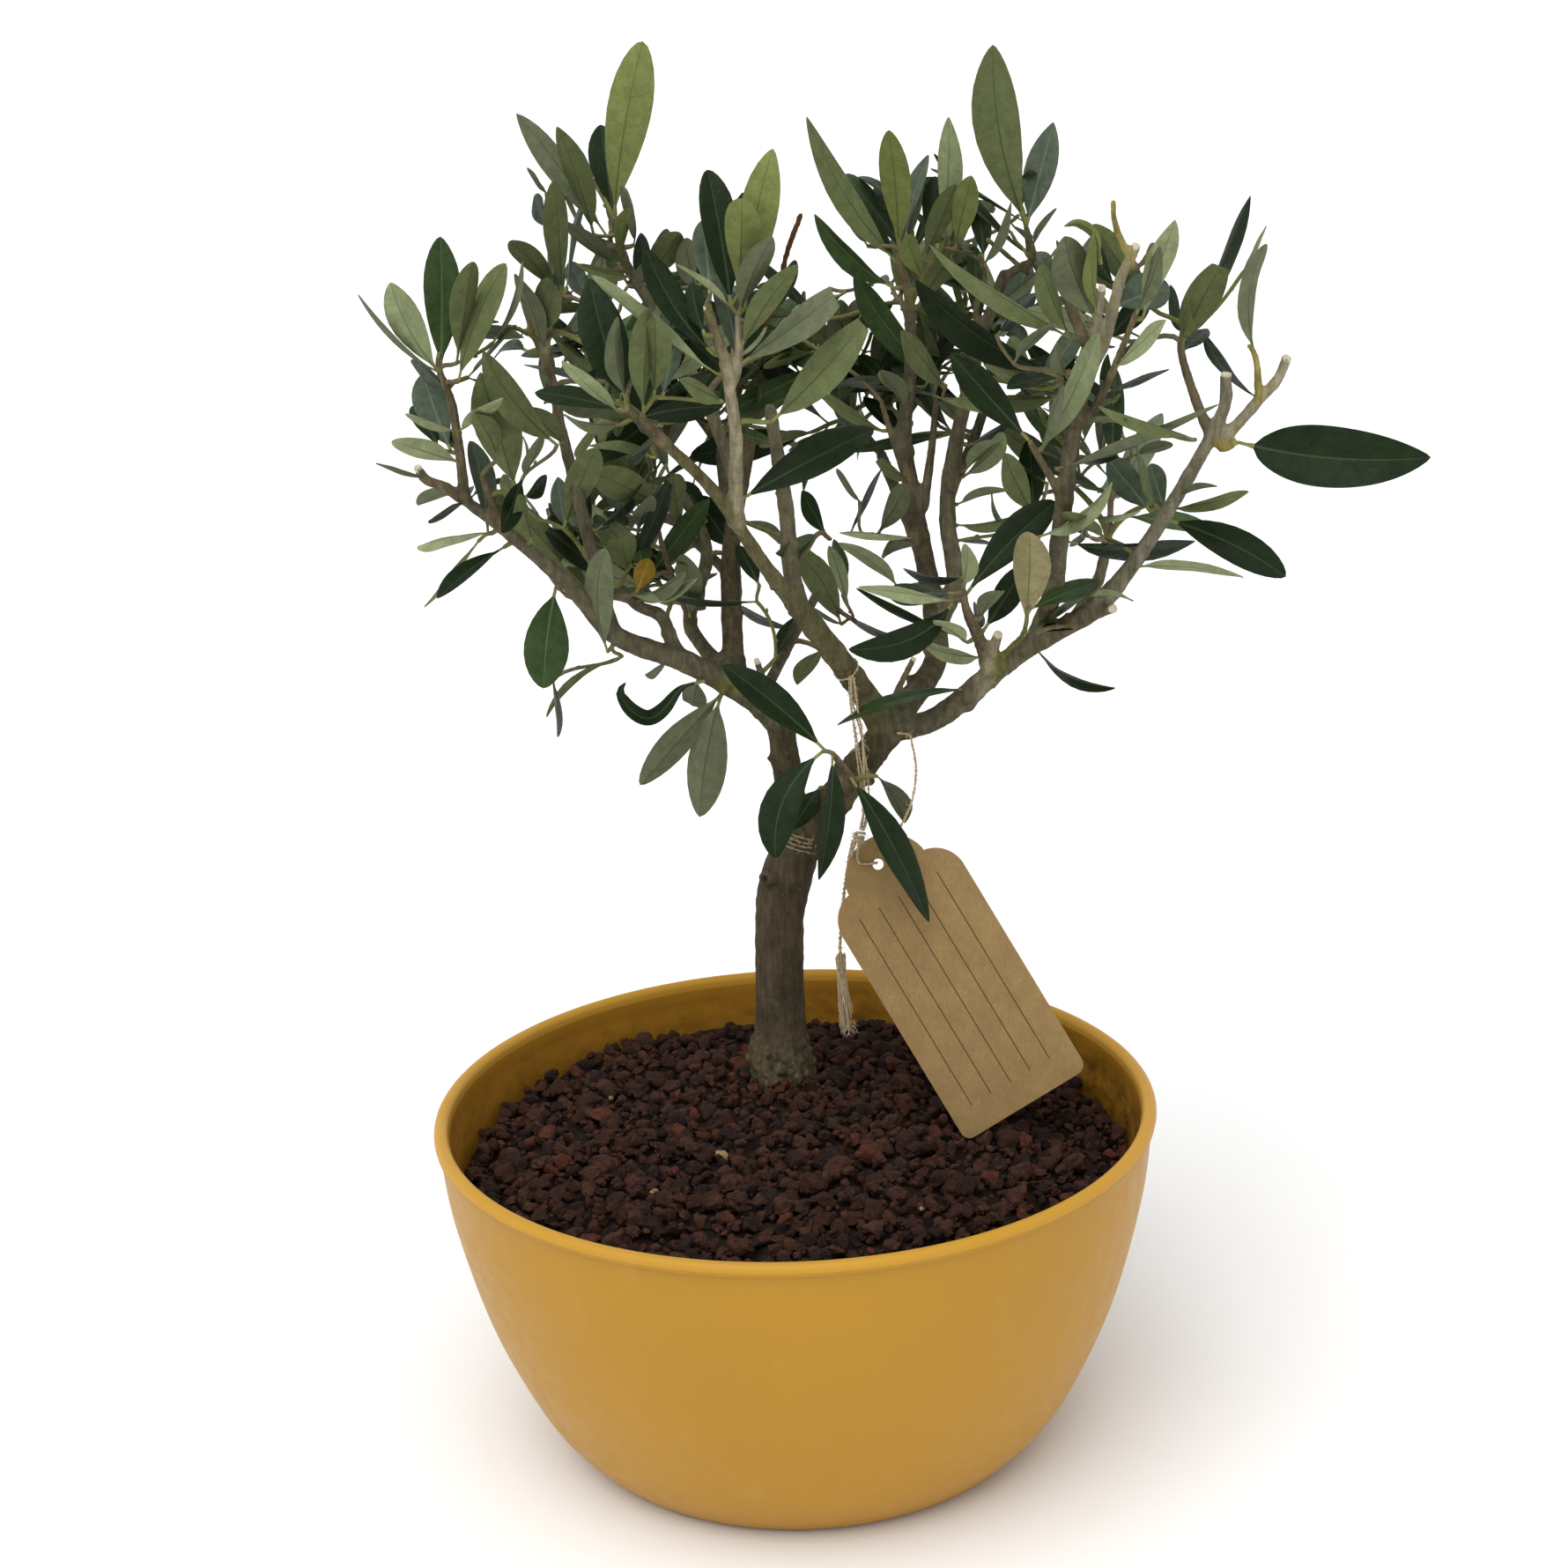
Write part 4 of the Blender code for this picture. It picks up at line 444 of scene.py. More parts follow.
# colours of a leaf's two sides, by kind of spray
TINTS = {
    "deep": ((23, 37, 14), (97, 105, 74)),
    "blue": ((66, 78, 60), (112, 122, 97)),
    "mid": ((50, 68, 34), (98, 106, 69)),
    "grey": ((52, 66, 42), (103, 109, 83)),
    "pale": ((68, 84, 50), (142, 151, 112)),
    "fresh": ((82, 99, 48), (117, 126, 73)),
    "straw": ((82, 86, 54), (142, 135, 97)),
    "yellowed": ((126, 98, 26), (132, 110, 48)),
}
LOOK_OF = {"D": ("deep", 1), "B": ("blue", 1), "M": ("mid", 1), "O": ("mid", -1), "G": ("grey", -1), "L": ("pale", -1), "F": ("fresh", -1), "P": ("straw", -1), "E": ("grey", -1), "Y": ("yellowed", 1)}


def leaf_looks(tint):
    up, down = TINTS[tint]
    s = 7.0 * list(TINTS).index(tint)
    light = [c + 26 for c in up]
    dark = [c * 0.80 for c in down]
    return [leaf_look("leaf_upper_" + tint, up, 0.44, 0.12 if tint == "deep" else 0.17, 0.34, s), leaf_look("leaf_under_" + tint, down, 0.80, 0.06, 0.20, s + 1),
            leaf_look("rib_upper_" + tint, light, 0.5, 0.12, 0.1, s + 2), leaf_look("rib_under_" + tint, dark, 0.7, 0.06, 0.1, s + 3),
            leaf_look("petiole_" + tint, (124, 126, 72), 0.6, 0.2, 0.15, s + 4)]


# ---- mesh building -------------------------------------------------------
class Soup:
    """Many small meshes joined into one piece."""

    def __init__(self):
        self.points, self.faces, self.slots, self.count = [], [], [], 0

    def add(self, points, faces, slots=0):
        points = np.asarray(points, float)
        k = self.count
        self.points.append(points)
        self.faces.extend([tuple(i + k for i in f) for f in faces])
        self.slots.extend(slots if hasattr(slots, "__len__") else [slots] * len(faces))
        self.count += len(points)

    def make(self, name, looks, sharp=60.0, slot=None):
        mesh = bpy.data.meshes.new(name)
        pts = np.concatenate(self.points) * MM
        mesh.from_pydata(pts.tolist(), [], self.faces)
        for look in looks:
            mesh.materials.append(look)
        mesh.polygons.foreach_set("material_index", self.slots)
        mesh.update()
        finish_mesh(mesh, sharp)
        obj = bpy.data.objects.new(name, mesh)
        bpy.context.scene.collection.objects.link(obj)
        return obj


def finish_mesh(mesh, sharp):
    mesh.validate()
    mesh.shade_smooth()
    mesh.set_sharp_from_angle(angle=math.radians(sharp))


def spline(points, step):
    """Points every few millimetres on a smooth line through the given ones."""
    p = [np.asarray(q, float) for q in points]
    ends = [p[0] * 2 - p[1]] + p + [p[-1] * 2 - p[-2]]
    out = []
    for i in range(1, len(ends) - 2):
        a, b, c, d = ends[i - 1:i + 3]
        n = max(1, round(float(np.linalg.norm(c - b)) / step))
        for k in range(n):
            t = k / n
            out.append(0.5 * ((2 * b) + (c - a) * t + (2 * a - 5 * b + 4 * c - d) * t * t + (3 * b - a - 3 * c + d) * t ** 3))
    out.append(p[-1])
    return np.array(out)


def run(line):
    return np.concatenate(([0.0], np.cumsum(np.linalg.norm(np.diff(line, axis=0), axis=1))))


def frames(line, first=None):
    """Tangent and two sideways directions at each point of a line, without twist."""
    t = np.gradient(line, axis=0)
    t /= np.maximum(1e-9, np.linalg.norm(t, axis=1))[:, None]
    a = np.cross(t[0], first if first is not None else (0.31, -0.88, 0.35))
    a = unit(a)
    sides = []
    for k in t:
        a = unit(a - k * (a @ k))
        sides.append(a)
    sides = np.array(sides)
    return t, sides, np.cross(t, sides)


def tube(line, radii, sides, point=0.6):
    """Points and faces of a closed round tube with a rounded end."""
    line, radii = np.asarray(line, float), np.asarray(radii, float)
    t, a, b = frames(line)
    line = np.vstack((line, line[-1] + t[-1] * radii[-1] * point))
    radii = np.append(radii, radii[-1] * (0.62 if point else 0.9))
    a, b = np.vstack((a, a[-1])), np.vstack((b, b[-1]))
    ang = np.arange(sides) * 2 * math.pi / sides
    ring = np.cos(ang)[None, :, None] * a[:, None] + np.sin(ang)[None, :, None] * b[:, None]
    pts = (line[:, None] + ring * radii[:, None, None]).reshape(-1, 3)
    faces = []
    for i in range(len(line) - 1):
        for k in range(sides):
            j = (k + 1) % sides
            faces.append((i * sides + k, i * sides + j, (i + 1) * sides + j, (i + 1) * sides + k))
    last = (len(line) - 1) * sides
    faces.append(tuple(range(sides))[::-1])
    faces.append(tuple(last + k for k in range(sides)))
    return pts, faces


# ---- one leaf ------------------------------------------------------------
STALK = 0.085
BLADE = np.array((0.0, 0.05, 0.12, 0.21, 0.32, 0.44, 0.56, 0.67, 0.77, 0.86, 0.93, 0.975))
BLADE_FINE = np.concatenate((np.linspace(0.0, 0.88, 26), (0.93, 0.975)))


def leaf_mesh(base, tip, face, width, rnd, bow=None, curl=0.0, turn=0.0, cut=1.0, line=None, outline=None):
    """A thin closed leaf from its base to its tip, its upper side towards face."""
    part = BLADE_FINE if line is not None or outline else BLADE
    blade = part * cut
    t = np.concatenate(((0.0, 0.5 * STALK), STALK + (1 - STALK) * blade))
    if line is None:
        length = float(np.linalg.norm(tip - base))
        d = (tip - base) / length
        face = unit(face - d * (face @ d))
        mid = (bow if bow is not None else 0.0) + face * (curl * length)
        c = base + (tip - base) * t[:, None] + 4 * (t * (1 - t))[:, None] * mid
    else:
        s = run(line)
        length = float(s[-1])
        c = np.stack([np.interp(t * length, s, line[:, k]) for k in range(3)], -1)
    tang = np.gradient(c, axis=0)
    tang /= np.linalg.norm(tang, axis=1)[:, None]
    n = face - tang * (tang @ face)[:, None]
    n /= np.maximum(1e-9, np.linalg.norm(n, axis=1))[:, None]
    side = np.cross(tang, n)
    ang = turn * (t - 0.4)
    n, side = n * np.cos(ang)[:, None] + side * np.sin(ang)[:, None], side * np.cos(ang)[:, None] - n * np.sin(ang)[:, None]
    a, b = rnd.uniform(0.82, 1.06), rnd.uniform(0.64, 0.98)
    if outline:
        a, b = outline
    peak = a / (a + b)
    w = width / 2 * (blade + 0.004) ** a * (1 - blade) ** b / (peak ** a * (1 - peak) ** b)
    stalk = 0.55
    w = np.concatenate(((stalk, stalk), np.maximum(w, stalk * np.clip(1 - 2 * part, 0.05, 1))))
    thick = np.concatenate(((0.55, 0.5), 0.30 + 0.22 * np.exp(-part * 9)))
    s = np.concatenate(((0, 0), part))
    fold = math.tan(math.radians(rnd.uniform(7, 25)))
    roll = rnd.uniform(0.02, 0.2)
    wave, phase = rnd.uniform(0.01, 0.07), rnd.uniform(0, 6.28)
    lean = rnd.uniform(-0.06, 0.06)
    rib = np.clip((0.42 - 0.34 * s) / w, 0.02, 0.5)
    rows = []
    for kind, x0 in (("u", -1), ("u", -0.6), ("r", -1), ("r", 1), ("u", 0.6), ("u", 1), ("d", 0.6), ("q", 1), ("q", -1), ("d", -0.6)):
        x = np.full_like(w, x0) if kind in "ud" else x0 * rib
        ax = np.abs(x)
        z = w * (fold * ax - roll * ax ** 5 + lean * x) + w * wave * np.sin(phase + 9 * s) * x * ax
        leafy = np.clip(s * 8, 0, 1)
        z = z * leafy
        if kind == "r":
            z = z + thick / 2 - 0.14 * leafy
        elif kind == "q":
            z = z - thick / 2 - 0.30 * leafy * (1 - 0.7 * s)
        elif abs(x0) < 1:
            z = z + (thick * 0.36 if kind == "u" else -thick * 0.36)
        rows.append(c + side * (w * x)[:, None] + n * z[:, None])
    pts = np.stack(rows, 1)
    count, cols = pts.shape[:2]
    faces, slots = [], []
    pick = (0, 0, 2, 0, 0, 1, 1, 3, 1, 1)
    for i in range(count - 1):
        for j in range(cols):
            k = (j + 1) % cols
            p, q, r, o = i * cols + j, i * cols + k, (i + 1) * cols + k, (i + 1) * cols + j
            faces += [(p, q, r), (p, r, o)] if j < 5 else [(p, q, o), (q, r, o)]
            slots += [4 if i < 2 else pick[j]] * 2
    flat = pts.reshape(-1, 3)
    end = c[-1] + tang[-1] * (length * 0.02 if cut == 1.0 else 0.05)
    flat = np.vstack((flat, end))
    last = (count - 1) * cols
    for j in range(cols):
        faces.append((last + j, last + (j + 1) % cols, len(flat) - 1))
        slots.append(pick[j])
    faces.append(tuple(range(cols))[::-1])
    slots.append(4)
    return flat, faces, slots


LEAVES = {tint: Soup() for tint in TINTS}
leaf_count = {"traced": 0, "grown": 0}
HAZE = []       # (middle, length) of every leaf, to keep grown ones apart
LEADING = []    # (base, tip, width) on the front view and depth of the leading leaves, which grown ones don't hide


def put_leaf(tint, *args, **kw):
    LEAVES[tint].add(*leaf_mesh(*args, **kw))


# ---- wood ----------------------------------------------------------------
WOOD = {}       # name: (line, radii, tone)


def limb_line(name, spec):
    pts = [place(*p) for p in spec[0]]
    if name == "trunk":
        pts = [np.array((*TRUNK_FOOT, TRUNK_CUT - 5.0))] + pts
    return spline(pts, 1.6)


# limbs that the photo shows slimmer past a part of their run: (from, how slim)
SLIM = {"front_bough": (0.36, 0.70), "right_bough_high": (0.05, 0.86), "i_top": (0.0, 0.80), "i_stub": (0.0, 0.84), "j_pale": (0.0, 0.88), "left_bough": (0.55, 0.88)}


def limb_radii(name, line, d0, d1, rnd):
    s = run(line)
    t = s / s[-1]
    r = (d0 + (d1 - d0) * t) / 2
    if name == "trunk":
        r = r + TRUNK_FLARE / 2 * np.exp(-np.maximum(0, s - 5.0) / FLARE_RUN) + 0.5 * np.exp(-((s - 73) / 8) ** 2)
    elif name in LIMBS:
        r = r * (1 + 0.28 * np.exp(-(s / (d0 * 0.8)) ** 2))
        gap, first = rnd.uniform(11, 15), rnd.uniform(5, 10)
        r = r * (1 + 0.10 * np.exp(-(((s - first + gap / 2) % gap - gap / 2) / 1.3) ** 2))
    else:
        gap, first = rnd.uniform(7, 10), rnd.uniform(3, 6)
        r = r * (1 + 0.13 * np.exp(-(((s - first + gap / 2) % gap - gap / 2) / 0.9) ** 2))
    start, slim = SLIM.get(name, (0.0, 1.0))
    ease = np.clip((t - start) / 0.22, 0, 1)
    return r * (1 - (1 - slim) * ease * ease * (3 - 2 * ease))


for wood_name, spec in list(LIMBS.items()) + list(SHOOTS.items()):
    w_rnd = random.Random("wood " + wood_name)
    w_line = limb_line(wood_name, spec)
    WOOD[wood_name] = (w_line, limb_radii(wood_name, w_line, spec[1], spec[2], w_rnd), spec[3])

TWIGS = []      # (line, radii, tone)


def bezier(a, b, c, d, n):
    t = np.linspace(0, 1, n)[:, None]
    return a * (1 - t) ** 3 + 3 * b * t * (1 - t) ** 2 + 3 * c * t ** 2 * (1 - t) + d * t ** 3


class Stock:
    """The wood that a spray may grow from."""

    def __init__(self, names):
        self.lines, self.ways, self.radii = [], [], []
        for n in names:
            line, radii, _ = WOOD[n]
            self.extend(line, radii)

    def extend(self, line, radii):
        t = np.gradient(line, axis=0)
        t /= np.maximum(1e-9, np.linalg.norm(t, axis=1))[:, None]
        self.lines.append(line)
        self.ways.append(t)
        self.radii.append(np.asarray(radii))
        self.p = np.concatenate(self.lines)
        self.t = np.concatenate(self.ways)
        self.r = np.concatenate(self.radii)
        self.v = seen_at(self.p)

    def near_in_view(self, uv):
        d = np.linalg.norm(self.v - uv, axis=1)
        k = int(np.argmin(d))
        return k, float(d[k])

    def nearest(self, q):
        d = np.linalg.norm(self.p - q, axis=1) + 0.6 * np.maximum(0, self.p[:, 2] - q[2])
        k = int(np.argmin(d))
        return k, float(d[k])


def twig_to(stock, goal, way, r0, r1, tone, rnd):
    """A thin twig from the nearest wood to a point, arriving along a direction."""
    k, _ = stock.nearest(goal)
    a = stock.p[k]
    gap = float(np.linalg.norm(goal - a))
    out = unit(goal - a)
    way = unit(way) * 0.55 + out * 0.65
    start = unit(out * 0.8 + stock.t[k] * (0.6 if stock.t[k] @ out > -0.3 else -0.2) + UP * 0.1)
    line = bezier(a, a + start * gap * 0.38, goal - unit(way) * gap * 0.3, goal, max(4, round(gap / 2.2)))
    radii = np.linspace(min(r0, stock.r[k] * 0.8), r1, len(line))
    return line, radii, tone


def add_twig(stock, twig):
    TWIGS.append(twig)
    stock.extend(twig[0], twig[1])


# ---- leading leaves ------------------------------------------------------
def traced_spray(name, limbs, depth, leaves):
    rnd = random.Random("spray " + name)
    stock = Stock(limbs)
    todo = []
    for row in leaves:
        u0, v0, u1, v1, wide, look = row[:6]
        k, off = stock.near_in_view(np.array((u0, v0)))
        if off <= 9:
            todo.append((0.0, row, None))
        else:
            q = place(u0, v0, stock.p[k][1] if off < 45 else depth)
            todo.append((stock.nearest(q)[1], row, q))
    todo.sort(key=lambda x: x[0])
    for _, row, q in todo:
        u0, v0, u1, v1, wide, look = row[:6]
        bow_px = row[6:8] if len(row) >= 8 else (0, 0)
        cut = row[8] if len(row) > 8 else 1.0
        tint, side = LOOK_OF[look]
        k, off = stock.near_in_view(np.array((u0, v0)))
        if q is None or off <= 9:
            base = stock.p[k].copy()
            thick = stock.r[k]
        else:
            base = q + np.array((0, rnd.uniform(-2, 2), 0))
            thick = 0.0
        flat_tip = place(u1, v1, base[1])
        seen = float(np.linalg.norm(flat_tip - base))
        length = max(seen * 1.02, 0.5 * (seen + 43)) * rnd.uniform(0.98, 1.04) if tint != "yellowed" else seen * 1.02
        droop = v1 > v0 + 8
        away = (side > 0) != droop
        deep = math.sqrt(max(0.0, length ** 2 - seen ** 2)) * (0.92 if away else -0.92)
        tip = place(u1, v1, base[1] + deep)
        d = unit(tip - base)
        if thick:
            base = base + d * thick * 0.5
        else:
            add_twig(stock, twig_to(stock, base, d, 1.0, 0.65, "tan" if rnd.random() < 0.45 else "green", rnd))
        length = float(np.linalg.norm(tip - base))
        scale = unit_size(base)
        shown = wide * scale * 1.03
        width = max(shown * 1.03, min(length * 0.26, shown * 2.6, 13.5))
        look_in = unit(EYE - (base + tip) / 2)
        face = unit(look_in - d * (look_in @ d))
        lean = math.acos(min(1.0, max(0.22, shown / width)))
        lean = lean if rnd.random() < 0.5 else -lean
        face = unit(face * math.cos(lean) + np.cross(d, face) * math.sin(lean)) * side
        bow = (ACROSS * bow_px[0] - UPWARD * bow_px[1]) * scale
        put_leaf(tint, base, tip, face, width, rnd, bow=bow, curl=rnd.uniform(-0.015, 0.06), turn=math.radians(rnd.uniform(-20, 20)), cut=cut, outline=OUTLINES.get(name))
        HAZE.append(((base + tip) / 2, length))
        LEADING.append((u0, v0, u1, v1, wide, float(base[1] + tip[1]) / 2))
        leaf_count["traced"] += 1


for spray_name, (spray_limbs, spray_depth, spray_leaves) in SPRAYS.items():
    traced_spray(spray_name, spray_limbs, spray_depth, spray_leaves)

for row in CURLED:
    c_rnd = random.Random("curled")
    pts = spline([place(*p) for p in row[:-2]], 1.0)
    c_tint, c_side = LOOK_OF[row[-1]]
    put_leaf(c_tint, pts[0], pts[-1], unit(EYE - pts[0]) * c_side + UP * 0.4, row[-2] * unit_size(pts[0]), c_rnd, line=pts)


# ---- grown sprays --------------------------------------------------------
def mass_body(name):
    mid, (wide, high), deep, _ = MASSES[name]
    c = place(*mid)
    k = unit_size(c)
    return c, np.array((wide * k, deep, high * k))


BODIES = {n: mass_body(n) for n in MASSES}
LEAD = np.array(LEADING)
SKY_A = np.array(SKY, float)
VIEW_MASSES = np.array([(m[0][0], m[0][1], m[1][0], m[1][1]) for m in MASSES.values()], float)


def open_sky(points, wide=0.0):
    """Whether any point, or a leaf about it, stands before a place that stays open."""
    uv = seen_at(points)
    e = (uv[:, None] - SKY_A[None, :, :2]) / (SKY_A[None, :, 2:] + wide)
    return bool(((e ** 2).sum(-1) < 1).any())


def hides_leading(points, width):
    """Whether a leaf would stand in front of a leading one."""
    uv, y = seen_at(points), float(points[:, 1].mean())
    a, d = LEAD[:, :2], LEAD[:, 2:4] - LEAD[:, :2]
    for p in uv:
        t = np.clip(((p - a) * d).sum(1) / np.maximum(1e-6, (d ** 2).sum(1)), 0.1, 0.9)
        gap = np.linalg.norm(p - a - d * t[:, None], axis=1)
        if ((gap < LEAD[:, 4] * 0.42 + width) & (LEAD[:, 5] > y - 2.0)).any():
            return True
    return False


def inside_outline(points, grow=1.12):
    uv = seen_at(points)
    e = (uv[:, None] - VIEW_MASSES[None, :, :2]) / (VIEW_MASSES[None, :, 2:] * grow)
    return bool(((e ** 2).sum(-1) < 1).any(1).all())


def inside_masses(points, grow=1.2):
    ok = np.zeros(len(points), bool)
    for c, half in BODIES.values():
        ok |= (((points - c) / (half * grow)) ** 2).sum(-1) < 1
    return bool(ok.all())


BACK = {n for n in MASSES if "_back_" in n or n == "foliage_rear_right_middle" or n == "foliage_centre_rear"}


def limbs_for(name):
    """Limbs that pass through or end near a mass."""
    c, half = BODIES[name]
    found = [n for n, (line, _, _) in WOOD.items() if n != "trunk" and ((((line - c) / (half * 1.15)) ** 2).sum(-1) < 1).any()]
    return found or [min(WOOD, key=lambda n: float(np.linalg.norm(WOOD[n][0][-1] - c)))]


DEALT = ["deep"] * 5 + ["mid"] * 4 + ["grey"] * 3 + ["blue"] * 2 + ["pale"] * 2


def grow_mass(name, shoots):
    rnd = random.Random("mass " + name)
    c, half = BODIES[name]
    stock = Stock(limbs_for(name))
    back = name in BACK
    tints = DEALT + (["fresh"] * 3 if "top" in name else ["fresh"])
    for _ in range(shoots):
        for attempt in range(60):
            v = np.array([rnd.gauss(0, 1) for _ in range(3)])
            v = unit(v) * rnd.uniform(0.35, 0.82)
            if not back and v[1] < 0.05:
                continue
            goal = c + v * half
            if open_sky(goal[None]) or not inside_outline(goal[None], 1.0):
                continue
            k, gap = stock.nearest(goal)
            if 9 < gap < 52:
                break
        else:
            continue
        way = unit(UP * 0.8 + unit(goal - c) * 0.8 + np.array([rnd.gauss(0, 0.25) for _ in range(3)]))
        twig = twig_to(stock, goal, way, 1.25, 0.7, "tan" if rnd.random() < 0.6 else "green", rnd)
        if dress(twig[0], rnd.choice(tints), rnd) > 1:
            add_twig(stock, twig)


def sheltered(points):
    """How much of a leaf stands behind leading ones, from 0 to 1."""
    uv, y = seen_at(points), float(points[:, 1].mean())
    a, d = LEAD[:, :2], LEAD[:, 2:4] - LEAD[:, :2]
    hidden = 0
    for p in uv:
        t = np.clip(((p - a) * d).sum(1) / np.maximum(1e-6, (d ** 2).sum(1)), 0.05, 0.95)
        gap = np.linalg.norm(p - a - d * t[:, None], axis=1)
        hidden += bool(((gap < LEAD[:, 4] * 0.42 - 1.0) & (LEAD[:, 5] < y - 2.0)).any())
    return hidden / len(uv)


def dress(line, tint, rnd, spacing=8.5, shelter=0.0, grow=1.4):
    """Opposite pairs of leaves along a twig, each pair turned a quarter from the last."""
    s = run(line)
    t, a, b = frames(line)
    at = s[-1]
    phase = rnd.uniform(0, math.pi)
    first = True
    found = []
    while at > max(4.0, s[-1] * 0.28):
        i = min(int(np.searchsorted(s, at)), len(s) - 1)
        for half_turn in (0, 1):
            for attempt in range(5):
                ang = phase + half_turn * math.pi + rnd.uniform(-0.35, 0.35) * (1 + 0.6 * attempt)
                out = a[i] * math.cos(ang) + b[i] * math.sin(ang)
                open_to = math.radians(rnd.uniform(18, 40) if first else rnd.uniform(38, 72))
                d = unit(t[i] * math.cos(open_to) + out * math.sin(open_to) + UP * rnd.uniform(-0.12, 0.18))
                length = rnd.uniform(33, 50) * (0.86 if first else 1.0) * (1.0, 0.92, 0.84, 0.76, 0.68)[attempt]
                base = line[i]
                tip = base + d * length
                probe = base + (tip - base) * np.array((0.3, 0.55, 0.8, 1.0))[:, None]
                if open_sky(probe[1:], 5.0) or not inside_outline(probe) or not inside_masses(probe, grow) or hides_leading(probe, 5.0):
                    continue
                if shelter and sheltered(probe[1:]) < shelter:
                    continue
                mid = (base + tip) / 2
                if any(np.linalg.norm(mid - m) < 4.2 for m, _ in HAZE):
                    continue
                face = unit(t[i] - d * (t[i] @ d) + UP * 0.35 + np.array([rnd.gauss(0, 0.28) for _ in range(3)]))
                found.append((base, tip, face, length, mid))
                break
        phase += math.pi / 2
        at -= spacing * rnd.uniform(0.8, 1.25)
        first = False
    if len(found) < 2:
        return 0
    for base, tip, face, length, mid in found:
        pick = tint if rnd.random() < 0.75 else rnd.choice(list(TINTS)[:5])
        put_leaf(pick, base, tip, face, length * rnd.uniform(0.20, 0.28), rnd, curl=rnd.uniform(-0.02, 0.08), turn=math.radians(rnd.uniform(-20, 20)))
        HAZE.append((mid, length))
        leaf_count["grown"] += 1
    return len(found)


def grow_close(number, middle, half, deep, shoots):
    """Shoots that stand close together about one place of the front view."""
    rnd = random.Random("close %d" % number)
    c = place(*middle)
    stock = Stock([n for n, (line, _, _) in WOOD.items() if n != "trunk" and np.linalg.norm(line - c, axis=1).min() < 45])
    for _ in range(shoots + 2):
        for attempt in range(60):
            goal = place(middle[0] + rnd.uniform(-1, 1) * half[0], middle[1] + rnd.uniform(-1, 1) * half[1], middle[2] + rnd.uniform(-1, 1) * deep)
            if not open_sky(goal[None]) and 6 < stock.nearest(goal)[1] < 42:
                break
        else:
            continue
        way = unit(UP * 0.9 + np.array([rnd.gauss(0, 0.45) for _ in range(3)]))
        twig = twig_to(stock, goal, way, 1.2, 0.7, "tan" if rnd.random() < 0.6 else "green", rnd)
        if dress(twig[0], rnd.choice(DEALT), rnd, 7.5) > 1:
            add_twig(stock, twig)


def grow_within(shoots):
    """Shoots between the front and the back masses, where the leading leaves stand before them."""
    rnd = random.Random("within")
    stock = Stock([n for n in WOOD if n != "trunk"])
    for _ in range(shoots):
        for attempt in range(90):
            goal = np.array((rnd.uniform(-135, 130), rnd.uniform(-40, 160), rnd.uniform(232, 425)))
            if HAZE and min(float(np.linalg.norm(goal - m)) for m, _ in HAZE) < 13:
                continue
            if open_sky(goal[None]) or not inside_masses(goal[None], 1.5) or sheltered(goal[None]) < 1:
                continue
            k, gap = stock.nearest(goal)
            if 7 < gap < 48:
                break
        else:
            continue
        way = unit(UP * 0.7 + unit(goal - stock.p[k]) * 0.6 + np.array([rnd.gauss(0, 0.35) for _ in range(3)]))
        twig = twig_to(stock, goal, way, 1.2, 0.7, "tan" if rnd.random() < 0.6 else "green", rnd)
        if open_sky(twig[0][len(twig[0]) // 3:]):
            continue
        if dress(twig[0], rnd.choice(DEALT), rnd, 8.0, 0.74, 1.8) > 1:
            add_twig(stock, twig)


for mass_name, (_, _, _, mass_shoots) in MASSES.items():
    grow_mass(mass_name, mass_shoots)
for close_number, close_row in enumerate(CLOSE):
    grow_close(close_number, *close_row)
grow_within(330)

foliage = [n for n in NODES if n.startswith("foliage_")]
for tint, soup in LEAVES.items():
    obj = soup.make("leaves_" + tint, leaf_looks(tint))
    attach(obj, "root")
    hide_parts(*foliage)


# ---- bark ----------------------------------------------------------------
def bark_look():
    k = Look("bark", 0.9, 0.15)
    tone = k.node("ShaderNodeAttribute", attribute_name="tone").outputs["Color"]
    patch = k.ramp(k.noise(230, 4, 0.65, (1, 1, 0.6)), (0.30, 0.66), (0.52, 1.0), (0.75, 1.34))
    c = k.mix(tone, patch, 1.0, "MULTIPLY")
    band = k.ramp(k.noise(330, 3, 0.6, (0.35, 0.35, 2.6), 6), (0.36, 0.70), (0.52, 1.0), (0.68, 1.18))
    c = k.mix(c, band, 0.25, "MULTIPLY")
    pale = k.span(k.noise(520, 4, 0.7, (1, 1, 0.8), 4), 0.60, 0.76, 0.0, 0.30)
    c = k.mix(c, lin((150, 144, 120)), pale)
    dark = k.span(k.noise(420, 4, 0.7, (1, 1, 0.5), 9), 0.60, 0.74, 0.0, 0.55)
    c = k.mix(c, lin((36, 29, 21)), dark)
    streak = k.ramp(k.noise(640, 3, 0.6, (1, 1, 0.16), 12), (0.34, 0.66), (0.52, 1.0), (0.70, 1.34))
    c = k.mix(c, streak, 0.8, "MULTIPLY")
    k.base(c)
    under = k.bump(k.noise(520, 4, 0.7, (1.4, 1.4, 0.35), 8), 0.0006, 0.6)
    k.bump(k.noise(1300, 4, 0.75, (1, 1, 0.5), 2), 0.0006, 1.0, under)
    return k.mat


BARK = bark_look()


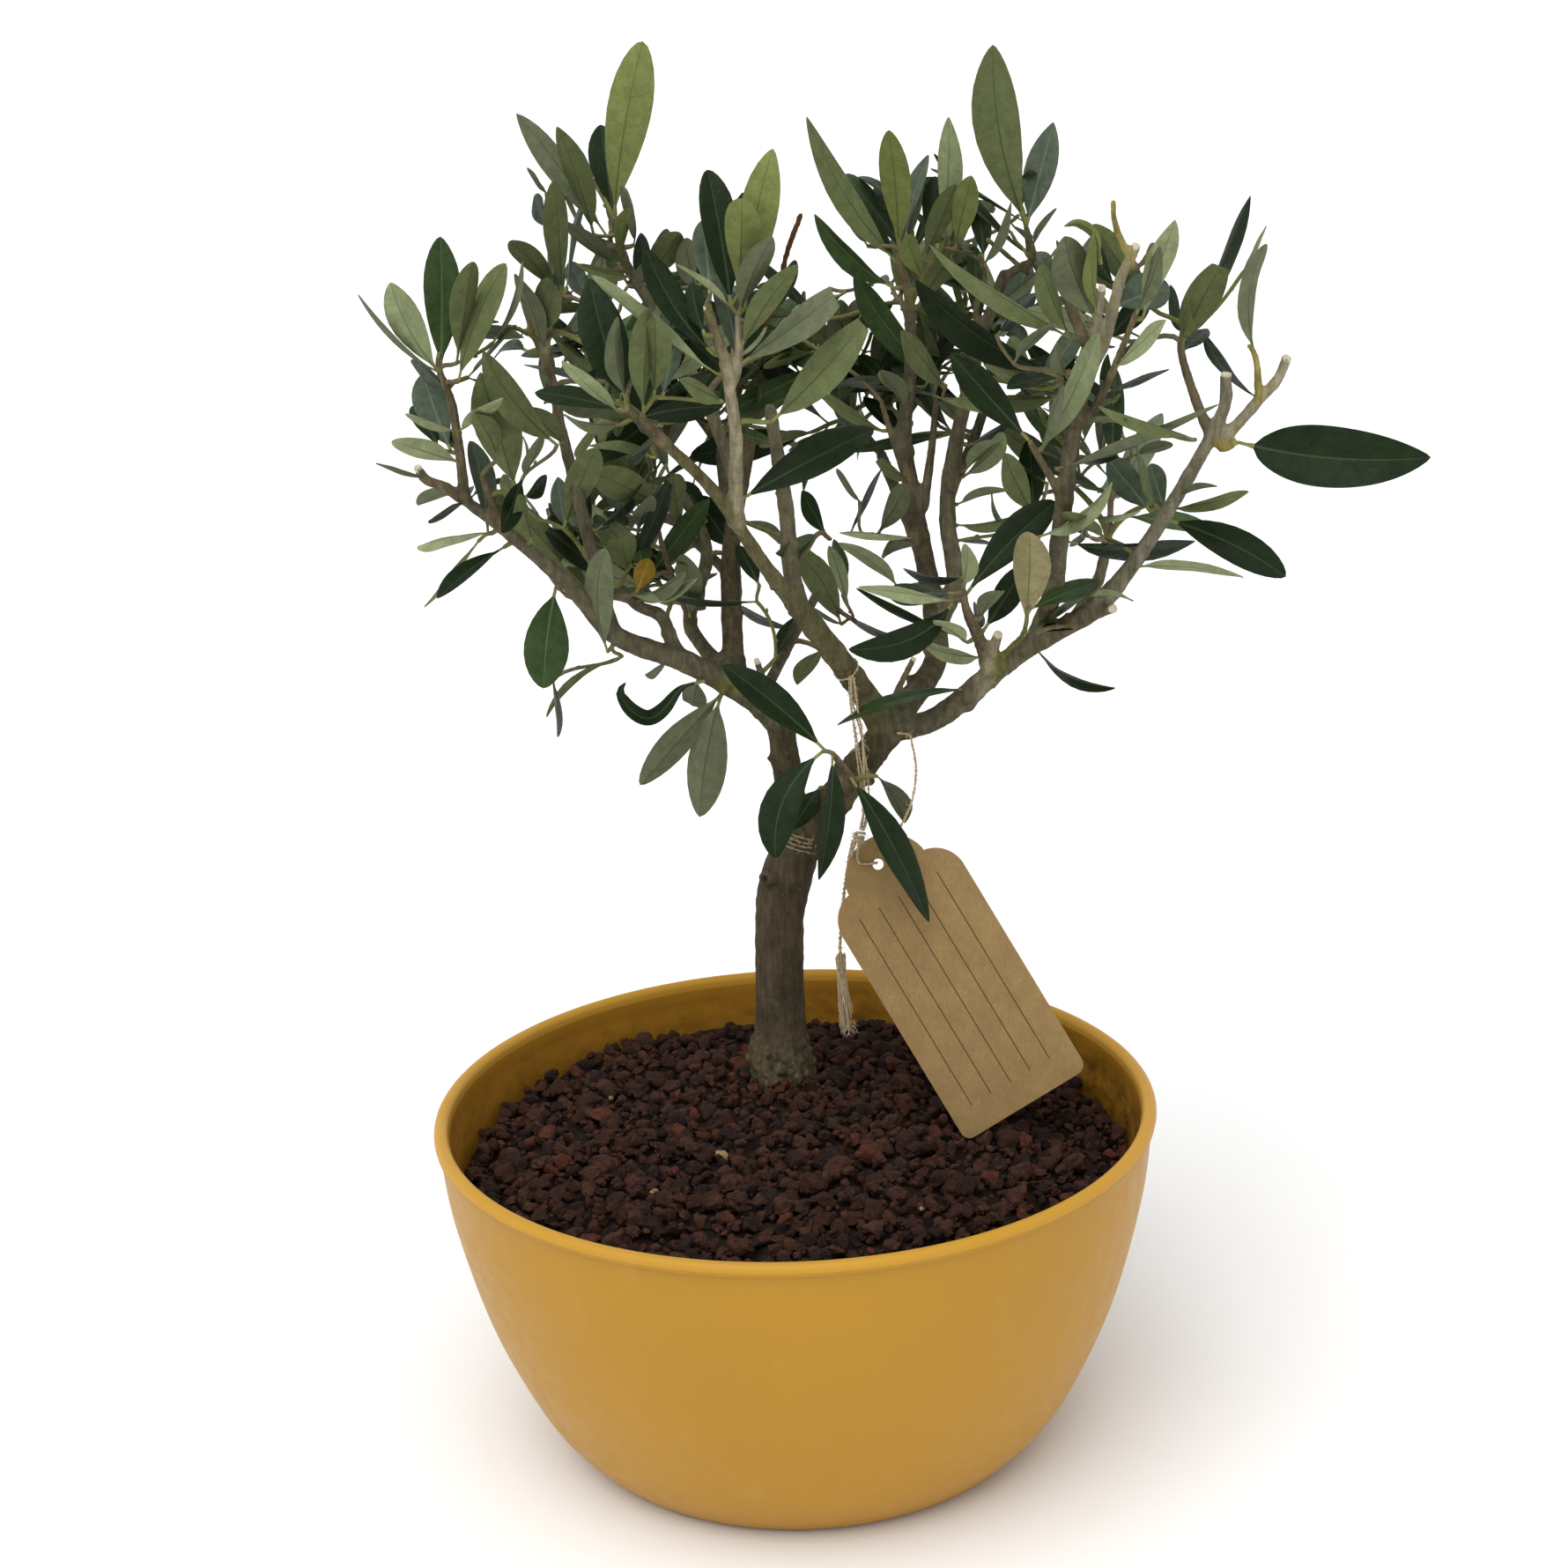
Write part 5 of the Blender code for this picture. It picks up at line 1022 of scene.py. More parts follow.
def wood_tubes():
    soup = Soup()
    for name, (line, radii, tone) in WOOD.items():
        cut = name in CUT_ENDS
        pts, faces = tube(line, np.maximum(radii + 0.12, 0.95), 14, 0.0 if cut else 0.6)
        soup.add(pts, faces)
    rnd = random.Random("knobs")
    for name, (line, radii, tone) in WOOD.items():
        if name in LIMBS:
            for _ in range(0 if name == "trunk" else 4):
                i = rnd.randrange(len(line) // 6, len(line) - 1)
                t, a, b = frames(line)
                ang = rnd.uniform(0, 6.28)
                out = a[i] * math.cos(ang) + b[i] * math.sin(ang)
                r = radii[i] * rnd.uniform(0.28, 0.42)
                start = line[i] + out * radii[i] * 0.7
                soup.add(*tube(np.array((start, start + out * r * 1.0 + t[i] * r * 0.3, start + out * r * 1.5 + t[i] * r * 0.6)), (r * 1.2, r * 1.05, r * 0.7), 10))
    # lumps of the root flare
    c_foot = np.array((*TRUNK_FOOT, TRUNK_CUT))
    for _ in range(60):
        ang, z = rnd.uniform(0, 6.28), rnd.uniform(-1.5, 15.0) * rnd.uniform(0.5, 1.0)
        r = rnd.uniform(0.9, 2.2) * (1.0 if z < 9 else 0.7)
        out = np.array((math.cos(ang), math.sin(ang), 0.25))
        p = c_foot + UP * z + out * (7.9 + 2.9 * math.exp(-max(0.0, z) / 7.0) - r * 0.15)
        p[2] = max(p[2], 104.0 + r * 0.3)
        soup.add(*tube(np.array((p - out * r * 0.7, p, p + out * r * 0.45)), (r * 1.0, r, r * 0.72), 9))
    # the cut knob on the trunk's left and the bud scar above the fork
    for (u, v, deep), r, far in (((870, 997, 31), 2.4, 2.6), ((903, 675, 4), 1.8, 1.6)):
        p = place(u, v, deep)
        out = unit(np.array((-0.60, -0.80, 0.10)) if u < 900 else np.array((0.1, -0.9, 0.3)))
        soup.add(*tube(np.array((p - out * 3, p - out * 1.0, p + out * far * 0.5)), (r * 1.35, r * 1.25, r), 12, 0.0))
    return soup


def grow_wood():
    soup = wood_tubes()
    mesh = bpy.data.meshes.new("wood_tubes")
    mesh.from_pydata((np.concatenate(soup.points) * MM).tolist(), [], soup.faces)
    obj = bpy.data.objects.new("wood_tubes", mesh)
    bpy.context.scene.collection.objects.link(obj)
    mod = obj.modifiers.new("skin", "REMESH")
    mod.mode = "VOXEL"
    mod.voxel_size = 0.83 * MM
    mod = obj.modifiers.new("soften", "SMOOTH")
    mod.factor, mod.iterations = 0.5, 2
    bpy.context.view_layer.update()
    out = bpy.data.meshes.new_from_object(obj.evaluated_get(bpy.context.evaluated_depsgraph_get()))
    bpy.data.objects.remove(obj, do_unlink=True)
    out.name = "wood"
    return out


def dress_wood(mesh):
    """Relief and tone of the bark."""
    n = len(mesh.vertices)
    co, no = np.empty(n * 3), np.empty(n * 3)
    mesh.vertices.foreach_get("co", co)
    mesh.vertices.foreach_get("normal", no)
    co, no = co.reshape(-1, 3) / MM, no.reshape(-1, 3)
    lines = [(line, LIMBS.get(name, SHOOTS.get(name))[3], radii) for name, (line, radii, _) in WOOD.items()]
    tree = kdtree.KDTree(sum(len(x[0]) for x in lines))
    tones, thick, k = [], [], 0
    for line, tone, radii in lines:
        rgb = lin(TONES[tone])
        for p, r in zip(line, radii):
            tree.insert(p, k)
            tones.append(rgb)
            thick.append(r)
            k += 1
    tree.balance()
    colour = np.ones((n, 4))
    knob_out = unit(np.array((-0.60, -0.80, 0.10)))
    hollow = place(870, 997, 31) + knob_out * 1.5
    for i in range(n):
        p = co[i]
        near = tree.find_n(p, 3)
        w = [1.0 / (0.3 + d) ** 2 for _, _, d in near]
        total = sum(w)
        colour[i, :3] = sum(np.array(tones[j]) * x for (_, j, _), x in zip(near, w)) / total
        r = thick[near[0][1]]
        v = Vector(p)
        up = Vector((p[0] / 1.1, p[1] / 1.1, p[2] / 4.2))
        relief = 0.10 * noise.noise(up) * min(1.6, r / 2.5)
        relief += 0.07 * noise.noise(v / 1.1)
        if r > 4:
            relief += 0.34 * abs(noise.noise(up * 0.8 + Vector((5, 1, 3)))) - 0.05
            relief += 0.16 * noise.noise(Vector((p[0] / 1.3, p[1] / 1.3, p[2] / 5.5))) + 0.14 * noise.noise(Vector((p[0] / 4.0, p[1] / 4.0, p[2] / 3.0)))
        foot = max(0.0, 1.0 - max(0.0, p[2] - TRUNK_CUT) / 17.0)
        if foot and (p[0] - TRUNK_FOOT[0]) ** 2 + (p[1] - TRUNK_FOOT[1]) ** 2 < 300:
            relief += foot * (1.5 * noise.noise(v / 5.2) + 0.8 * noise.noise(v / 2.3) + 0.5 * abs(noise.noise(v / 1.2)))
            shade = 1.0 + 0.8 * foot * noise.noise(v / 1.7)
            if noise.noise(v / 0.9 + Vector((3, 9, 2))) > 0.42:
                shade += 1.1 * foot
            colour[i, :3] = colour[i, :3] * shade + np.array((0.012, 0.016, 0.004)) * foot * (0.5 + noise.noise(v / 1.9))
        # painted shade: the hollow in the cut knob is darkened towards its middle, besides being pressed in
        inside = max(0.0, 1.0 - float(np.linalg.norm(p - hollow)) / 1.7)
        if inside:
            colour[i, :3] *= 1.0 - 0.75 * min(1.0, 2.0 * inside)
            relief -= 1.3 * inside
        co[i] = p + no[i] * relief
    mesh.vertices.foreach_set("co", (co * MM).ravel())
    layer = mesh.attributes.new("tone", "FLOAT_COLOR", "POINT")
    layer.data.foreach_set("color", colour.ravel())
    mesh.materials.append(BARK)
    mesh.update()
    finish_mesh(mesh, 75)


wood_mesh = grow_wood()
dress_wood(wood_mesh)
wood = bpy.data.objects.new("trunk_and_boughs", wood_mesh)
bpy.context.scene.collection.objects.link(wood)
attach(wood, "root")
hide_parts(*LIMBS)


def twig_look(name, rgb):
    k = Look(name, 0.72, 0.25)
    c = lin(rgb)
    k.base(k.ramp(k.noise(420, 3, 0.6, (1, 1, 0.6)), (0.3, scaled(c, 0.72)), (0.55, c), (0.74, scaled(c, 1.32))))
    k.bump(k.noise(1300, 3, 0.6), 0.0002, 0.5)
    return k.mat


for tone, name in (("tan", "twigs_tan"), ("green", "twigs_green")):
    soup = Soup()
    t_rnd = random.Random(name)
    for line, radii, kind in TWIGS:
        if kind != tone:
            continue
        soup.add(*tube(line, radii, 7))
        # buds at the nodes
        if len(line) > 5:
            t, a, b = frames(line)
            for i in range(2, len(line) - 1, 4):
                ang = t_rnd.uniform(0, 6.28)
                out = a[i] * math.cos(ang) + b[i] * math.sin(ang)
                p = line[i] + out * radii[i] * 0.7
                soup.add(*tube(np.array((p, p + out * 0.45 + t[i] * 0.5, p + out * 0.6 + t[i] * 1.1)), (0.5, 0.42, 0.2), 5))
    obj = soup.make(name, [twig_look(name, TONES[tone])], 70)
    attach(obj, "root")


def cut_look():
    k = Look("cut_wood", 0.8, 0.2)
    c = lin((206, 198, 172))
    k.base(k.ramp(k.noise(900, 4, 0.6), (0.3, scaled(c, 0.7)), (0.7, scaled(c, 1.1))))
    k.bump(k.noise(1600, 3), 0.0002, 0.6)
    return k.mat


cuts = Soup()
for cut_name in CUT_ENDS:
    line, radii, _ = WOOD[cut_name]
    way = unit(line[-1] - line[-3])
    tilt = unit(way + 0.22 * np.array((0.4, -0.8, 0.3)))
    r = radii[-1] * 0.94
    p = line[-1]
    ring_line = np.array((p - way * 1.0, p + tilt * 0.25, p + tilt * 0.5))
    cuts.add(*tube(ring_line, (r, r, r * 0.82), 16, 0.0))
cuts_obj = cuts.make("cut_ends", [cut_look()], 50)
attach(cuts_obj, "root")


# ---- pot -----------------------------------------------------------------
def arc(cx, cy, r, a0, a1, n):
    return [(cx + r * math.cos(math.radians(a0 + (a1 - a0) * k / n)), cy + r * math.sin(math.radians(a0 + (a1 - a0) * k / n))) for k in range(n + 1)]


def smooth_wall(z):
    """Outer radius of the bowl at a height, on a smooth line through its sizes."""
    return float(np.interp(z, WALL_FINE[:, 0], WALL_FINE[:, 1]))


WALL_FINE = spline([np.array((h, r, 0.0)) for h, r in WALL_LINE], 2.0)[:, :2]


def inner_radius(z):
    pts = [(FLOOR, FOOT_R - 1.0), (9.0, WALL_LINE[1][1] - WALL)] + [(h, r - WALL) for h, r in WALL_LINE[2:]]
    return float(np.interp(z, [p[0] for p in pts], [p[1] for p in pts]))


def pot_profile():
    pts = [(0.0, FLOOR), (FOOT_R * 0.5, FLOOR), (FOOT_R - 3.0, FLOOR)]
    pts += [(smooth_wall(z) - WALL, z) for z in np.arange(5.5, POT_H - LIP_H - 1.0, 3.0)]
    lip = LIP_W / 2
    pts += [(RIM_R - LIP_W - 0.3, POT_H - LIP_H + 0.6)]
    pts += arc(RIM_R - lip, POT_H - lip, lip, 180, 0, 14)
    for drop, inset in ((2.5, 0.02), (2.72, 0.10), (2.84, 0.24), (2.94, 0.36), (3.06, 0.35), (3.18, 0.27), (3.36, 0.22), (3.56, 0.24), (3.74, 0.42), (3.84, 0.80), (3.95, 1.12)):
        pts.append((RIM_R - inset, POT_H - drop))
    pts += [(smooth_wall(z), z) for z in np.arange(POT_H - LIP_H - 1.2, 3.2, -2.6)]
    pts += [(WALL_LINE[0][1] - 0.2, 2.4), (FOOT_R + 3.6, 1.1), (FOOT_R + 1.4, 0.25), (FOOT_R, 0.0), (FOOT_R - 6.0, 0.0), (FOOT_R - 7.0, 0.9), (0.0, 0.9)]
    return pts


def lathe(pts, sides):
    rings, faces, verts = [], [], []
    for r, z in pts:
        if r < 1e-6:
            rings.append([len(verts)])
            verts.append((0, 0, z))
        else:
            rings.append(list(range(len(verts), len(verts) + sides)))
            verts += [(r * math.cos(2 * math.pi * k / sides), r * math.sin(2 * math.pi * k / sides), z) for k in range(sides)]
    for a, b in zip(rings, rings[1:]):
        for k in range(sides):
            j = (k + 1) % sides
            if len(a) == 1:
                faces.append((a[0], b[k], b[j]))
            elif len(b) == 1:
                faces.append((a[k], b[0], a[j]))
            else:
                faces.append((a[k], b[k], b[j], a[j]))
    return np.array(verts, float), faces


def pot_look(name, rgb, stains_and_painted_shade=False):
    k = Look(name, 0.44, 0.22)
    c = lin(rgb)
    wash = k.ramp(k.noise(9, 3, 0.5), (0.3, scaled(c, 0.955)), (0.7, scaled(c, 1.045)))
    grain = k.span(k.noise(2600, 2, 0.6, seed=3), 0.3, 0.7, 0.0, 0.10)
    wash = k.mix(wash, scaled(c, 0.78), grain)
    dust = k.span(k.noise(70, 5, 0.7, (1, 1, 0.3), 5), 0.58, 0.80, 0.0, 0.16)
    wash = k.mix(wash, lin((196, 160, 96)), dust)
    speck = k.span(k.cells(210, 2.0), 0.02, 0.05, 0.7, 0.0)
    keep = k.span(k.noise(60, 2, seed=8), 0.60, 0.64, 0.0, 1.0)
    both = k.node("ShaderNodeMath", operation="MULTIPLY")
    k.link(speck, both.inputs[0])
    k.link(keep, both.inputs[1])
    wash = k.mix(wash, lin((60, 40, 20)), both.outputs[0])
    if stains_and_painted_shade:
        # soil stains and painted shade: the inside wall is darkened in mottled patches, most low down by the grit and
        # towards the right
        at = k.node("ShaderNodeSeparateXYZ")
        k.link(k.node("ShaderNodeTexCoord").outputs["Object"], at.inputs[0])
        low = k.node("ShaderNodeMath", operation="MULTIPLY")
        k.link(k.span(at.outputs["Z"], 0.098, 0.108, 1.0, 0.25), low.inputs[0])
        k.link(k.span(k.noise(95, 4, 0.7, (1, 1, 1.6), 4), 0.40, 0.66, 0.15, 0.85), low.inputs[1])
        side = k.node("ShaderNodeMath", operation="MULTIPLY")
        k.link(low.outputs[0], side.inputs[0])
        k.link(k.span(at.outputs["X"], -0.02, 0.09, 0.45, 1.0), side.inputs[1])
        wash = k.mix(wash, lin((52, 30, 14)), side.outputs[0])
    k.base(wash)
    k.rough(k.span(k.noise(140, 4, 0.6, seed=1), 0.3, 0.7, 0.36, 0.5))
    k.bump(k.noise(1700, 2, 0.5, seed=2), 0.00006, 0.6)
    return k.mat


pot_line = pot_profile()
pot_points, pot_faces = lathe(pot_line, 176)
pot_top = max(range(len(pot_line)), key=lambda i: pot_line[i][1])
pot_slots = []
for i in range(len(pot_line) - 1):
    at_lip = min(pot_line[i][1], pot_line[i + 1][1]) > POT_H - LIP_H + 0.5
    pot_slots += [2 if at_lip else (1 if i < pot_top else 0)] * 176
pot_soup = Soup()
pot_soup.add(pot_points, pot_faces, pot_slots)
# the lip takes a lighter copy of the body's ochre as a painted highlight, and the inside a darker copy as painted shade
pot = pot_soup.make("pot_shell", [pot_look("pot_ochre", (176, 130, 38)), pot_look("pot_ochre_inside_painted_shade", (168, 118, 34), True), pot_look("pot_ochre_lip_painted_highlight", (186, 139, 44))], 40)
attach(pot, "root")
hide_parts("pot")


# ---- grit ----------------------------------------------------------------
def grit_height(x, y):
    d = math.hypot(x - GRIT_CENTRE[0], y - GRIT_CENTRE[1])
    z = GRIT_PEAK - GRIT_DROP * (d / 112.0) ** 2.2
    near = min(1.0, max(0.0, (math.hypot(x - TRUNK_FOOT[0], y - TRUNK_FOOT[1]) - 15.0) / 12.0))
    z += near * 0.7 * (noise.noise(Vector((x, y, 0)) / 17.0) - 0.35)
    return min(z, GRIT_PEAK - 0.1) if near > 0 else GRIT_PEAK - 0.1


def grit_look(name, rgb, seed):
    k = Look(name, 0.95, 0.18)
    c = lin(rgb)
    k.base(k.ramp(k.noise(420, 4, 0.7, seed=seed), (0.28, scaled(c, 0.5)), (0.5, c), (0.72, scaled(c, 1.6))))
    pores = k.bump(k.cells(1500, seed), 0.0005, 0.7)
    k.bump(k.noise(1900, 4, 0.7, seed=seed), 0.0004, 0.8, pores)
    return k.mat


GRITS = (("umber", (63, 40, 30)), ("rust", (78, 43, 30)), ("black", (38, 26, 21)), ("brown", (52, 32, 23)))


def ico(levels):
    mesh = bpy.data.meshes.new("ico")
    import bmesh
    bm = bmesh.new()
    bmesh.ops.create_icosphere(bm, subdivisions=levels, radius=1.0)
    bm.to_mesh(mesh)
    bm.free()
    pts = np.array([v.co for v in mesh.vertices])
    faces = [tuple(p.vertices) for p in mesh.polygons]
    bpy.data.meshes.remove(mesh)
    return pts, faces


ICO = {1: ico(1), 2: ico(2), 3: ico(3)}


def stone(size, rnd, level):
    """One broken, rough grain of lava."""
    pts, faces = ICO[level]
    p = pts.copy()
    for _ in range(7 if level > 1 else 3):
        n = unit([rnd.gauss(0, 1) for _ in range(3)])
        d = rnd.uniform(0.42, 0.85)
        over = np.maximum(0, p @ n - d)
        p = p - over[:, None] * n * 0.8
    off = Vector((rnd.uniform(0, 50), rnd.uniform(0, 50), 0))
    fine = 0.22 if level == 3 else 0.1
    p = p * np.array([1 + 0.34 * noise.noise(Vector(q) * 1.7 + off) + fine * noise.noise(Vector(q) * 4.3 + off) for q in p])[:, None]
    p = p * np.array((rnd.uniform(0.85, 1.3), rnd.uniform(0.75, 1.15), rnd.uniform(0.65, 1.0))) * (size / 2)
    m = Matrix.Rotation(rnd.uniform(0, 6.28), 3, "Z") @ Matrix.Rotation(rnd.uniform(-0.7, 0.7), 3, "X") @ Matrix.Rotation(rnd.uniform(-0.7, 0.7), 3, "Y")
    return p @ np.array(m).T, faces


def make_grit():
    rnd = random.Random("grit")
    soups = {name: Soup() for name, _ in GRITS}
    names = [n for n, _ in GRITS]
    edge = inner_radius(90.0)
    ring = [0.0] + [edge * (k / 46) for k in range(1, 47)]
    verts, faces = [(0, 0, grit_height(0, 0) - 3.2)], []
    sides = 150
    for r in ring[1:]:
        for k in range(sides):
            a = 2 * math.pi * k / sides
            rr = min(r, edge - 0.5)
            x, y = rr * math.cos(a), rr * math.sin(a)
            verts.append((x, y, grit_height(x, y) - 3.2 + 0.9 * noise.noise(Vector((x, y, 3)) / 2.1)))
    rows = len(ring) - 1
    for k in range(sides):
        faces.append((0, 1 + k, 1 + (k + 1) % sides))
    for i in range(rows - 1):
        for k in range(sides):
            j = (k + 1) % sides
            a, b = 1 + i * sides, 1 + (i + 1) * sides
            faces.append((a + k, b + k, b + j, a + j))
    # skirt and underside, so that the bed is closed
    low = len(verts)
    for k in range(sides):
        a = 2 * math.pi * k / sides
        r = inner_radius(84.0) - 0.6
        verts.append((r * math.cos(a), r * math.sin(a), 84.0))
    verts.append((0, 0, 84.0))
    top = 1 + (rows - 1) * sides
    for k in range(sides):
        j = (k + 1) % sides
        faces.append((top + k, low + k, low + j, top + j))
        faces.append((low + k, len(verts) - 1, low + j))
    soups["black"].add(np.array(verts, float), faces)

    def drop(x, y, size, lift, level, kind=None):
        r = math.hypot(x, y)
        z = grit_height(x, y) + lift
        if r > inner_radius(z) - size * 0.5 - (0.0 if level > 1 else 3.5):
            return
        if math.hypot(x - TRUNK_FOOT[0], y - TRUNK_FOOT[1]) < 7.2 + size * 0.2:
            return
        p, f = stone(size, rnd, level)
        p = p + np.array((x, y, min(z, 104.9 - float(p[:, 2].max()))))
        soups[kind or rnd.choices(names, (5, 1.0, 2.4, 5))[0]].add(p, f)

    step = 4.3
    n = int(2 * edge / step) + 2
    for i in range(n):
        for j in range(n):
            x = -edge + (i + 0.5 * (j % 2)) * step + rnd.uniform(-1.5, 1.5)
            y = -edge + j * step * 0.9 + rnd.uniform(-1.5, 1.5)
            size = rnd.choices((rnd.uniform(2.6, 3.6), rnd.uniform(3.6, 5.4), rnd.uniform(5.4, 8.6)), (3, 5, 2.6 if y < 0 else 1.4))[0]
            drop(x, y, size, rnd.uniform(-2.6, 1.5), 3 if size > 4.2 and y < 0 else 2)
    for _ in range(1300):
        a, r = rnd.uniform(0, 6.283), edge * math.sqrt(rnd.random())
        if r * math.sin(a) < 40:
            drop(r * math.cos(a), r * math.sin(a), rnd.uniform(1.2, 2.4), rnd.uniform(0.3, 1.2), 1)
    return soups


grit_soups = make_grit()
for grit_name, grit_rgb in GRITS:
    obj = grit_soups[grit_name].make("grit_" + grit_name, [grit_look("lava_" + grit_name, grit_rgb, len(grit_name) * 1.7)], 42)
    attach(obj, "root")
    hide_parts("grit")

pebble = Soup()
p_rnd = random.Random("pebble")
for (pu, pv), size in (((820, 1312), 4.6), ((742, 1352), 2.2), ((1046, 1372), 2.0), ((694, 1246), 2.4)):
    y = 0.0
    for _ in range(30):
        q = place(pu, pv, y)
        y -= (q[2] - (grit_height(q[0], q[1]) + 1.2)) * -2.2
    q = place(pu, pv, y)
    sp, sf = stone(size, p_rnd, 2)
    pebble.add(sp + q, sf)
pebbles = pebble.make("grit_pebbles", [grit_look("pebble_tan", (150, 122, 88), 3.0)], 40)
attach(pebbles, "root")


# ---- tag -----------------------------------------------------------------
def tag_frame():
    lean, spin = math.radians(TAG_LEAN), math.radians(TAG_SPIN)
    m = Matrix.Rotation(lean, 3, "X") @ Matrix.Rotation(spin, 3, "Z")
    return np.array(m), np.array(TAG_CORNER)


TAG_M, TAG_P = tag_frame()


def on_tag(x, y, z=0.0):
    return TAG_M @ np.array((x, y, z)) + TAG_P


def tag_outline():
    w = TAG_W
    start = math.degrees(math.asin((87.0 - TAG_LOBE_Y) / TAG_LOBE_R))
    pts = arc(3.0, 3.0, 3.0, 180, 270, 6)
    pts += arc(w - 3.5, 3.5, 3.5, 270, 360, 6)
    pts += arc(w - TAG_EAR_R, TAG_SIDE, TAG_EAR_R, 0, 80, 12)
    pts += arc(w / 2, TAG_LOBE_Y, TAG_LOBE_R, start, 180 - start, 26)
    pts += arc(TAG_EAR_R, TAG_SIDE, TAG_EAR_R, 100, 180, 12)
    return pts


def card_look():
    k = Look("kraft_card", 0.88, 0.2)
    c = lin((146, 120, 79))
    cloud = k.ramp(k.noise(120, 4, 0.6), (0.3, scaled(c, 0.88)), (0.7, scaled(c, 1.1)))
    fibre = k.span(k.noise(900, 4, 0.7, (1.0, 1.0, 0.35), 2), 0.42, 0.68, 0.0, 0.5)
    cloud = k.mix(cloud, scaled(c, 0.72), fibre)
    light = k.span(k.noise(1400, 3, 0.7, (0.35, 1.0, 1.0), 6), 0.60, 0.74, 0.0, 0.5)
    cloud = k.mix(cloud, scaled(c, 1.5), light)
    k.base(cloud)
    k.bump(k.noise(1500, 4, 0.7), 0.00012, 0.6)
    return k.mat


def ink_look():
    k = Look("ruled_line", 0.8, 0.2)
    c = lin((72, 54, 36))
    k.base(k.ramp(k.noise(1800, 3, 0.7), (0.35, scaled(c, 0.7)), (0.7, scaled(c, 1.5))))
    return k.mat


def tag_bend(x, y):
    """The card's slight warp."""
    return 0.28 * math.sin(y / 98.0 * math.pi) * (x / TAG_W) - 0.18 * math.sin(x / TAG_W * math.pi)


def make_tag():
    curve = bpy.data.curves.new("tag_card", "CURVE")
    curve.dimensions = "2D"
    curve.fill_mode = "BOTH"
    curve.extrude = (TAG_THICK / 2 - 0.06) * MM
    curve.bevel_depth = 0.06 * MM
    curve.bevel_resolution = 1
    curve.offset = -0.06 * MM
    hx, hy, hr = TAG_HOLE
    for pts in (tag_outline(), arc(hx, hy, hr, 0, -345, 23)):
        sp = curve.splines.new("POLY")
        sp.points.add(len(pts) - 1)
        for p, (x, y) in zip(sp.points, pts):
            p.co = (x * MM, y * MM, 0, 1)
        sp.use_cyclic_u = True
    obj = bpy.data.objects.new("tag_card", curve)
    bpy.context.scene.collection.objects.link(obj)
    bpy.context.view_layer.update()
    mesh = bpy.data.meshes.new_from_object(obj.evaluated_get(bpy.context.evaluated_depsgraph_get()))
    bpy.data.objects.remove(obj, do_unlink=True)
    import bmesh
    bm = bmesh.new()
    bm.from_mesh(mesh)
    bmesh.ops.remove_doubles(bm, verts=bm.verts, dist=1e-6)
    for cut_y in range(8, 92, 8):
        geom = bm.verts[:] + bm.edges[:] + bm.faces[:]
        bmesh.ops.bisect_plane(bm, geom=geom, plane_co=(0, cut_y * MM, 0), plane_no=(0, 1, 0))
    for cut_x in (9, 18, 27, 36):
        geom = bm.verts[:] + bm.edges[:] + bm.faces[:]
        bmesh.ops.bisect_plane(bm, geom=geom, plane_co=(cut_x * MM, 0, 0), plane_no=(1, 0, 0))
    for v in bm.verts:
        x, y, z = (c / MM for c in v.co)
        v.co = Vector(on_tag(x, y, z + tag_bend(x, y))) * MM
    bm.to_mesh(mesh)
    bm.free()
    mesh.name = "tag_card"
    mesh.materials.clear()
    mesh.materials.append(card_look())
    finish_mesh(mesh, 40)
    card = bpy.data.objects.new("tag_card", mesh)
    bpy.context.scene.collection.objects.link(card)
    return card


card = make_tag()
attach(card, "root")
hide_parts("tag")

rules = Soup()
for k in range(5):
    x = 7.5 + k * 7.2
    y0, y1 = 9.0, 78.0
    n = 24
    pts, faces = [], []
    for i in range(n + 1):
        y = y0 + (y1 - y0) * i / n
        half = 0.16
        for dx, dz in ((-half, 0.0), (half, 0.0), (half, -0.12), (-half, -0.12)):
            pts.append(on_tag(x + dx, y, TAG_THICK / 2 + 0.03 + dz + tag_bend(x + dx, y)))
    for i in range(n):
        for j in range(4):
            a, b = i * 4 + j, i * 4 + (j + 1) % 4
            faces.append((a, b, b + 4, a + 4))
    faces.append((3, 2, 1, 0))
    faces.append((n * 4, n * 4 + 1, n * 4 + 2, n * 4 + 3))
    rules.add(pts, faces)
ruled = rules.make("tag_ruled_lines", [ink_look()], 40)
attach(ruled, "root")


# ---- twine ---------------------------------------------------------------
def jute_look():
    k = Look("jute", 0.92, 0.15)
    c = lin((196, 178, 144))
    k.base(k.ramp(k.noise(1300, 4, 0.7), (0.3, scaled(c, 0.5)), (0.55, c), (0.75, scaled(c, 1.35))))
    k.bump(k.noise(2400, 3, 0.7), 0.0003, 0.7)
    return k.mat


def ply(line, width, rnd, soup, strands=2, pitch=3.4, sides=6):
    """A twisted cord of a few strands along a line."""
    s = run(line)
    t, a, b = frames(line)
    r = width * 0.27
    turn0 = rnd.uniform(0, 6.28)
    for k in range(strands):
        ang = turn0 + s / pitch * 2 * math.pi + k * 2 * math.pi / strands
        wob = 1 + 0.12 * np.sin(s * 1.7 + k)
        c = line + (a * np.cos(ang)[:, None] + b * np.sin(ang)[:, None]) * r
        soup.add(*tube(c, width * 0.30 * wob, sides))


